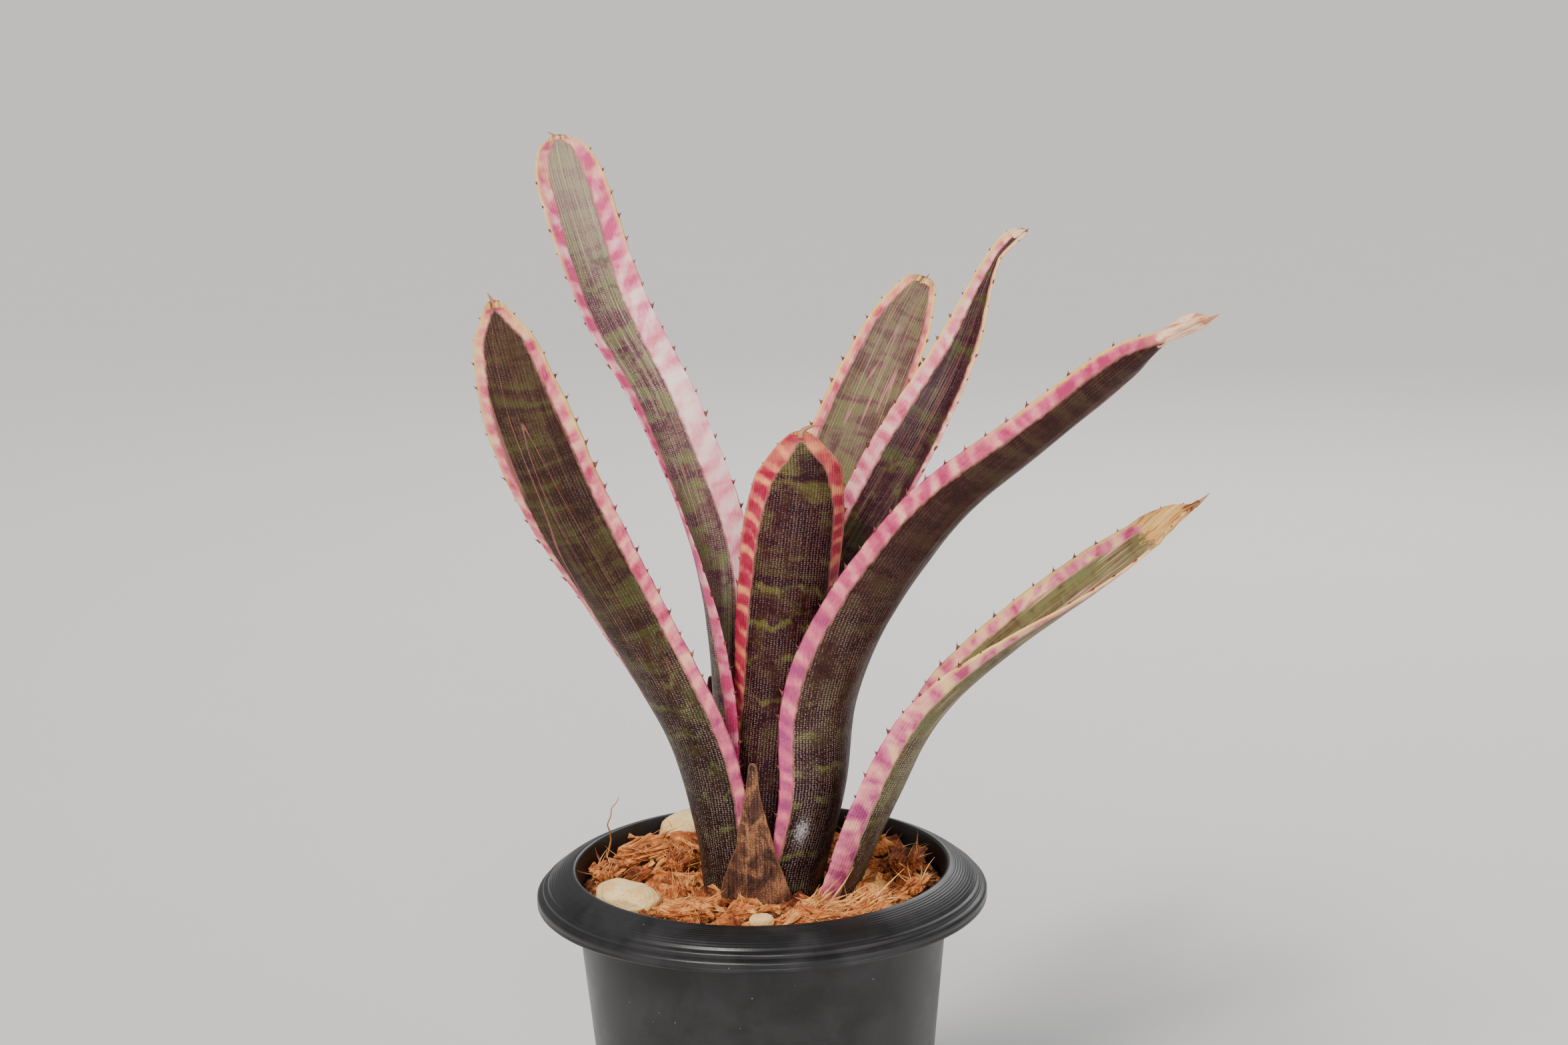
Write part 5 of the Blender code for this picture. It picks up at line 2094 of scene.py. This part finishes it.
LEAVES = (
    Leaf(
        Blade("leaf_back_narrow", 20, (
            sheath(5.2, ROOT, 95), sheath(6.4, 20, 65), (10.3, 0, 45, 6.8, 50, 5),
            (16.5, 0.5, 64, 7.5, 50, 16), (32, -3, 92, 8.5, 45, 35), (48, -2, 118, 5.6, 42, 40),
            (57, -1, 137, 2.5, 80, 40), (61, -1, 141, 2.5, 70, 40), (65, 0, 143, 0.4, 50, 40)),
            low_margin=((0, 1.5), (0.5, 1.6), (0.9, 1.0), (1, 1.0)),
            high_margin=((0, 2.5), (0.45, 3.8), (0.8, 3.2), (1, 2.0)), crinkle=0.25,
            crinkle_length=7.0, seed=11),
        LeafFinish(
            "skin_back_narrow", dark=(0.022, 0.004, 0.008), mid=(0.038, 0.012, 0.014),
            green=(0.038, 0.040, 0.011), deep=(0.55, 0.05, 0.13), pink=(0.84, 0.21, 0.29),
            pale=(0.94, 0.52, 0.48), pale_bias=0.05, stripes=0.10, streaks=0.10, inner_dots=0.25,
            sheen=0.34, bar_pitch=4.0, bar_contrast=0.20, bar_amount=0.25, dry_length=4.0,
            dry=(0.88, 0.62, 0.40), seed=1.0),
        Slot.DARK, 1.0, (0.3, 0, 0.1)),
    Leaf(
        Blade("leaf_centre", -88, (
            sheath(7, ROOT, 75), sheath(8, 15, 74, drift=1), (9, 4.5, 50, 12, 64, 0),
            (10.5, 8, 80, 12.5, 52, 0), (10, 10, 95, 10.5, 48, 0), (9.6, 10, 101, 6.4, 48, 0),
            (9, 10, 105, 0.4, 50, 0)),
            low_margin=((0, 2.0), (0.5, 4.0), (0.85, 4.6), (0.95, 5.4), (0.985, 4.4), (1, 1.6)),
            high_margin=((0, 2.0), (0.5, 3.2), (0.85, 3.7), (0.95, 4.8), (0.985, 4.2), (1, 1.6)),
            groove=0.10, seed=23),
        LeafFinish(
            "skin_centre", dark=(0.024, 0.003, 0.005), mid=(0.041, 0.008, 0.008),
            green=(0.050, 0.028, 0.009), foot=(0.020, 0.005, 0.005), deep=(0.32, 0.009, 0.038),
            pink=(0.46, 0.030, 0.070), pale=(0.78, 0.25, 0.12), cream=(0.90, 0.54, 0.14),
            pale_bias=-0.04, mauve=(0.30, 0.014, 0.050), mauve_share=0.2, bar_pitch=4.2,
            bar_contrast=0.30, blotch_contrast=0.9, outer_dots=0.34, dots_top=0.8, stripes=0.0,
            streaks=0.0, rib_shade=0.12, bar_from=0.40, crown=0.50, bar_to=0.80, bar_amount=0.6,
            bar_colour=(0.14, 0.13, 0.028), dry=(0.60, 0.24, 0.09), dry_length=0.8,
            gold=(0.80, 0.30, 0.14), seed=2.0),
        Slot.DARK, 4.0, (4.6, -0.4, -2.4)),
    Leaf(
        Blade("leaf_back_right", 45, (
            sheath(7, ROOT, 40), sheath(8.2, 15, 38), (13, 1, 45, 6.5, 38, 0),
            (19.5, 2, 66, 7.5, 40, 8), (28, 0, 91, 10, 36, 22), (43, -2, 117, 8.5, 32, 25),
            (51, -3, 129, 4.5, 40, 25), (53, -3, 131, 0.4, 40, 25)),
            low_margin=((0, 1.5), (0.5, 2.0), (1, 1.8)),
            high_margin=((0, 1.5), (0.5, 2.4), (1, 2.0)), seed=37),
        LeafFinish(
            "skin_back_right", dark=(0.080, 0.036, 0.028), mid=(0.125, 0.082, 0.048),
            green=(0.120, 0.112, 0.038), foot=(0.04, 0.018, 0.018), foot_tint_and_shade_share=0.35,
            stripe=(0.55, 0.17, 0.18), stripe_rate=2.6, deep=(0.58, 0.040, 0.11),
            pink=(0.82, 0.16, 0.21), pale=(0.92, 0.46, 0.35), cream=(0.92, 0.66, 0.26),
            streaks=0.12, inner_dots=0.3, seed=3.0),
        Slot.PINK, 1.2, (0.3, 0, 0.4)),
    Leaf(
        Blade("leaf_tall_left", 158, (
            sheath(9.4, ROOT, 95), sheath(10.2, 15, 76, 10, 1.8), (9, 2, 45, 12, 78, 6),
            (12.5, -2, 77, 10.5, 70, -22), (23.5, -6, 105, 8.8, 54, -38),
            (37.5, -9.5, 128, 8.8, 40, -42), (48, -13, 154, 8.4, 32, -45),
            (50.2, -13.8, 161.5, 6.2, 30, -45), (51, -14, 165, 0.4, 30, -45)),
            low_margin=((0, 2.5), (0.3, 4.4), (0.55, 5.8), (0.8, 5.2), (0.95, 4.0), (1, 3.2)),
            high_margin=((0, 2.4), (0.4, 3.2), (0.8, 3.0), (0.93, 3.9), (1, 3.0)), seed=41),
        LeafFinish(
            "skin_tall_left", dark=(0.072, 0.027, 0.036), mid=(0.112, 0.080, 0.052),
            green=(0.105, 0.115, 0.042), foot=(0.050, 0.012, 0.026), foot_tint_and_shade_share=0.36,
            stripe=(0.36, 0.13, 0.10), stripes=0.15, streak=(0.52, 0.42, 0.31), streaks=0.30,
            wash=0.32, far_deep=0.30, dots_top=1.0, rib_shade=0.03, deep=(0.62, 0.065, 0.19),
            pink=(0.86, 0.25, 0.34), pale=(0.95, 0.60, 0.58), cream=(0.96, 0.78, 0.68),
            mauve=(0.42, 0.018, 0.090), mauve_share=0.20, pale_bias=0.14, top_deep=0.26,
            bar_pitch=7.0, blotch_contrast=1.0, inner_dots=0.55, bar_from=0.3, bar_to=0.9,
            bar_colour=(0.07, 0.030, 0.042), bar_amount=0.7, inner_gain=1.35, gold_from=0.84,
            dry_length=1.2, seed=4.0),
        Slot.PINK, 1.8, (-2.0, 0, -0.7)),
    Leaf(
        Blade("leaf_long_right", -28, (
            sheath(12.2, ROOT, 64), (14, 0, 5, 14, 66, 0), (19.5, 0, 25, 15.5, 74, 0),
            (22, -0.5, 45, 16, 78, -8), (31, -2.5, 66, 13.2, 68, -20), (48, -4, 89, 10.5, 60, -30),
            (68, -4, 106.5, 8, 58, -36), (86, -3, 122, 6, 62, -45), (95, -3, 129, 2.5, 100, -50),
            (101, -2, 132, 3, 70, -50), (105, -2, 134, 0.4, 60, -50)),
            low_margin=((0, 1.5), (0.12, 2.5), (0.3, 3.6), (0.8, 3.4), (1, 2.0)),
            high_margin=((0, 1.2), (0.3, 1.8), (0.8, 1.8), (1, 1.5)), crinkle=0.35,
            crinkle_length=10.0, rows=280, columns=48, seed=53),
        LeafFinish(
            "skin_long_right", dark=(0.028, 0.007, 0.006), mid=(0.044, 0.015, 0.010),
            green=(0.048, 0.026, 0.012), foot=(0.014, 0.005, 0.005), foot_tint_and_shade_share=0.30,
            deep=(0.44, 0.035, 0.12), pink=(0.66, 0.115, 0.20), pale=(0.88, 0.38, 0.32),
            cream=(0.92, 0.62, 0.32), mauve=(0.34, 0.052, 0.16), mauve_share=0.30, bar_pitch=5.2,
            bar_contrast=0.24, blotch_contrast=0.85, pale_bias=-0.03, top_deep=0.16, stripes=0.0,
            streaks=0.0, outer_dots=0.46, dots_top=0.10, bar_to=0.35, bar_amount=0.45,
            dry_length=11.0, dry=(0.90, 0.62, 0.42), dry_dark=(0.56, 0.22, 0.11), crust=0.5,
            crust_at=(-9.0, 26.0), seed=5.0),
        Slot.DARK, 1.6, (0.8, 0, 0.6)),
    Leaf(
        Blade("leaf_front_left", 222, (
            sheath(12.2, ROOT, 38), (14, 0, 10, 10, 45, 0), (19, -0.5, 35, 10, 46, 10),
            (32.5, -4, 65, 9.5, 40, 28), (46, -6, 90, 10, 30, 38), (56, -6, 112, 9.5, 26, 42),
            (62, -5, 129, 6.8, 30, 45), (63.8, -4.4, 134.5, 4, 30, 45), (65, -4, 139, 0.4, 30, 45)),
            low_margin=((0, 1.0), (0.4, 2.2), (0.9, 2.8), (1, 2.0)),
            high_margin=((0, 2.2), (0.4, 2.8), (0.9, 2.8), (1, 2.0)), seed=61),
        LeafFinish(
            "skin_front_left", dark=(0.030, 0.010, 0.007), mid=(0.052, 0.024, 0.011),
            green=(0.056, 0.050, 0.013), foot=(0.015, 0.005, 0.004), foot_tint_and_shade_share=0.50,
            stripe=(0.50, 0.17, 0.16), stripes=0.42, stripe_rate=1.5, streak=(0.24, 0.12, 0.08),
            streaks=0.10, rib_shade=0.04, wash=0.10, dry_length=1.6, deep=(0.50, 0.035, 0.11),
            pink=(0.80, 0.18, 0.23), pale=(0.92, 0.50, 0.34), cream=(0.92, 0.66, 0.22),
            mauve=(0.36, 0.045, 0.15), mauve_share=0.30, bar_contrast=0.20, bar_pitch=5.2,
            bar_from=0.10, bar_to=0.45, bar_amount=0.45, outer_dots=0.42, dots_top=0.3, seed=6.0),
        Slot.GREEN, 2.0, (-1.0, 0, 0.2)),
    Leaf(
        Blade("leaf_low_right", -20, (
            (17, -0.5, ROOT, 9, 50, 0), (23, -1, 4, 11.5, 56, 0), (31.8, -2, 24, 12.3, 66, 0),
            (42, 0, 43, 12, 76, 5), (57.5, 3, 59, 10.8, 62, 15), (75, 7.5, 73.5, 9.5, 42, 25),
            (86, 12, 82.5, 7, 38, 28), (90, 13.4, 86, 4.4, 55, 30), (93, 14.3, 88.3, 1.7, 80, 30),
            (95, 15, 90, 0.4, 40, 30)),
            low_margin=((0, 3.5), (0.15, 5.2), (0.45, 4.2), (0.7, 1.8), (1, 1.2)),
            high_margin=((0, 2.0), (0.5, 3.0), (0.9, 3.7), (1, 2.6)), crinkle=0.5,
            crinkle_length=17.0, seed=71),
        LeafFinish(
            "skin_low_right", dark=(0.075, 0.040, 0.022), mid=(0.125, 0.110, 0.042),
            green=(0.105, 0.140, 0.042), foot=(0.030, 0.014, 0.010), foot_tint_and_shade_share=0.40,
            stripe=(0.62, 0.32, 0.22), stripes=0.4, streak=(0.62, 0.30, 0.24), streaks=0.85,
            streak_pitch=2.0, bar_amount=0.1, mottle=0.35, deep=(0.48, 0.055, 0.15),
            pink=(0.76, 0.19, 0.27), pale=(0.93, 0.50, 0.30), cream=(0.95, 0.67, 0.22),
            mauve=(0.33, 0.042, 0.16), mauve_share=0.22, bar_pitch=6.4, bar_contrast=0.26,
            blotch_contrast=1.35, pale_bias=0.02, gold_from=0.5, inner_gain=1.35, inner_dots=0.2,
            outer_dots=0.6, dry_length=14.0, dry=(0.72, 0.37, 0.12), dry_dark=(0.16, 0.050, 0.018),
            seed=7.0),
        Slot.GREEN, 2.0, (0.8, 0, 0.8)),
)

PAPER = {"thickness": 0.6, "rows": 120, "wave": 0.35, "crinkle": 0.22, "crinkle_length": 60.0}

BRACTS = (
    Blade("dry_bract_front", -95, (
        (15, 0, ROOT, 9, 32, 0), (17, 0, 4, 8, 28, 0), (17.2, 0, 13, 4.9, 26, 0),
        (17.2, 0, 23, 2.6, 26, 0), (17, 0, 34, 0.4, 26, 0)), seed=83, **PAPER),
    Blade("dry_bract_rear", 135, (
        (13, 0, ROOT, 8, 38, 0), (14, 0, 20, 5.5, 38, 0), (15, 0, 34, 3, 40, 0),
        (15, 0, 46, 0.4, 40, 0)), seed=97, **PAPER),
)

CHIPS = (
    Chip(1, 14, 10, 5, 20, 10, 0.62), Chip(2, 8, 8, 4, 75, -5, 0.66),
    Chip(3, 10, 6, 5, 60, 5, 0.25), Chip(4, 8, 5, 4, 100, 4, 0.50),
    Chip(5, 15, 10, 4, -25, 3, 0.72), Chip(6, 8, 5, 3, 10, 3, 0.45),
    Chip(7, 12, 8, 6, 75, 4, 0.28), Chip(8, 12, 10, 5, 120, -5, 0.60),
    Chip(9, 8, 5, 4, 70, 4, 0.58), Chip(10, 12, 9, 4, 60, 4, 0.66),
    Chip(11, 13, 8, 4, 15, -4, 0.62), Chip(12, 15, 9, 4, 150, 4, 0.4),
    Chip(13, 13, 9, 4, -13, -4, 0.55), Chip(14, 7, 5, 3.5, 25, 3, 0.70),
)

PEBBLES = (
    Pebble("pebble_front_left", 15.5, 10.5, 6.5, -28, -4, 1.0, 5),
    Pebble("pebble_back_left", 13.5, 11, 8, 40, 8, 1.0, 9),
    Pebble("pebble_front_small", 5.5, 4, 3, 5, 0, -1.0, 14),
)


def main() -> None:
    """Build the studio, the pot, the husk and the plant."""
    logging.basicConfig(level=logging.INFO, format="%(name)s: %(message)s")
    Studio().build()
    pot = Pot()
    pot.build()
    bed = Bed(pot)
    bed.build()
    HuskLitter(bed, CHIPS).build()
    stone = PebbleFinish().material()
    for pebble in PEBBLES:
        pebble.build(stone)
    Plant(bed.level).build()


if __name__ == "__main__":
    main()
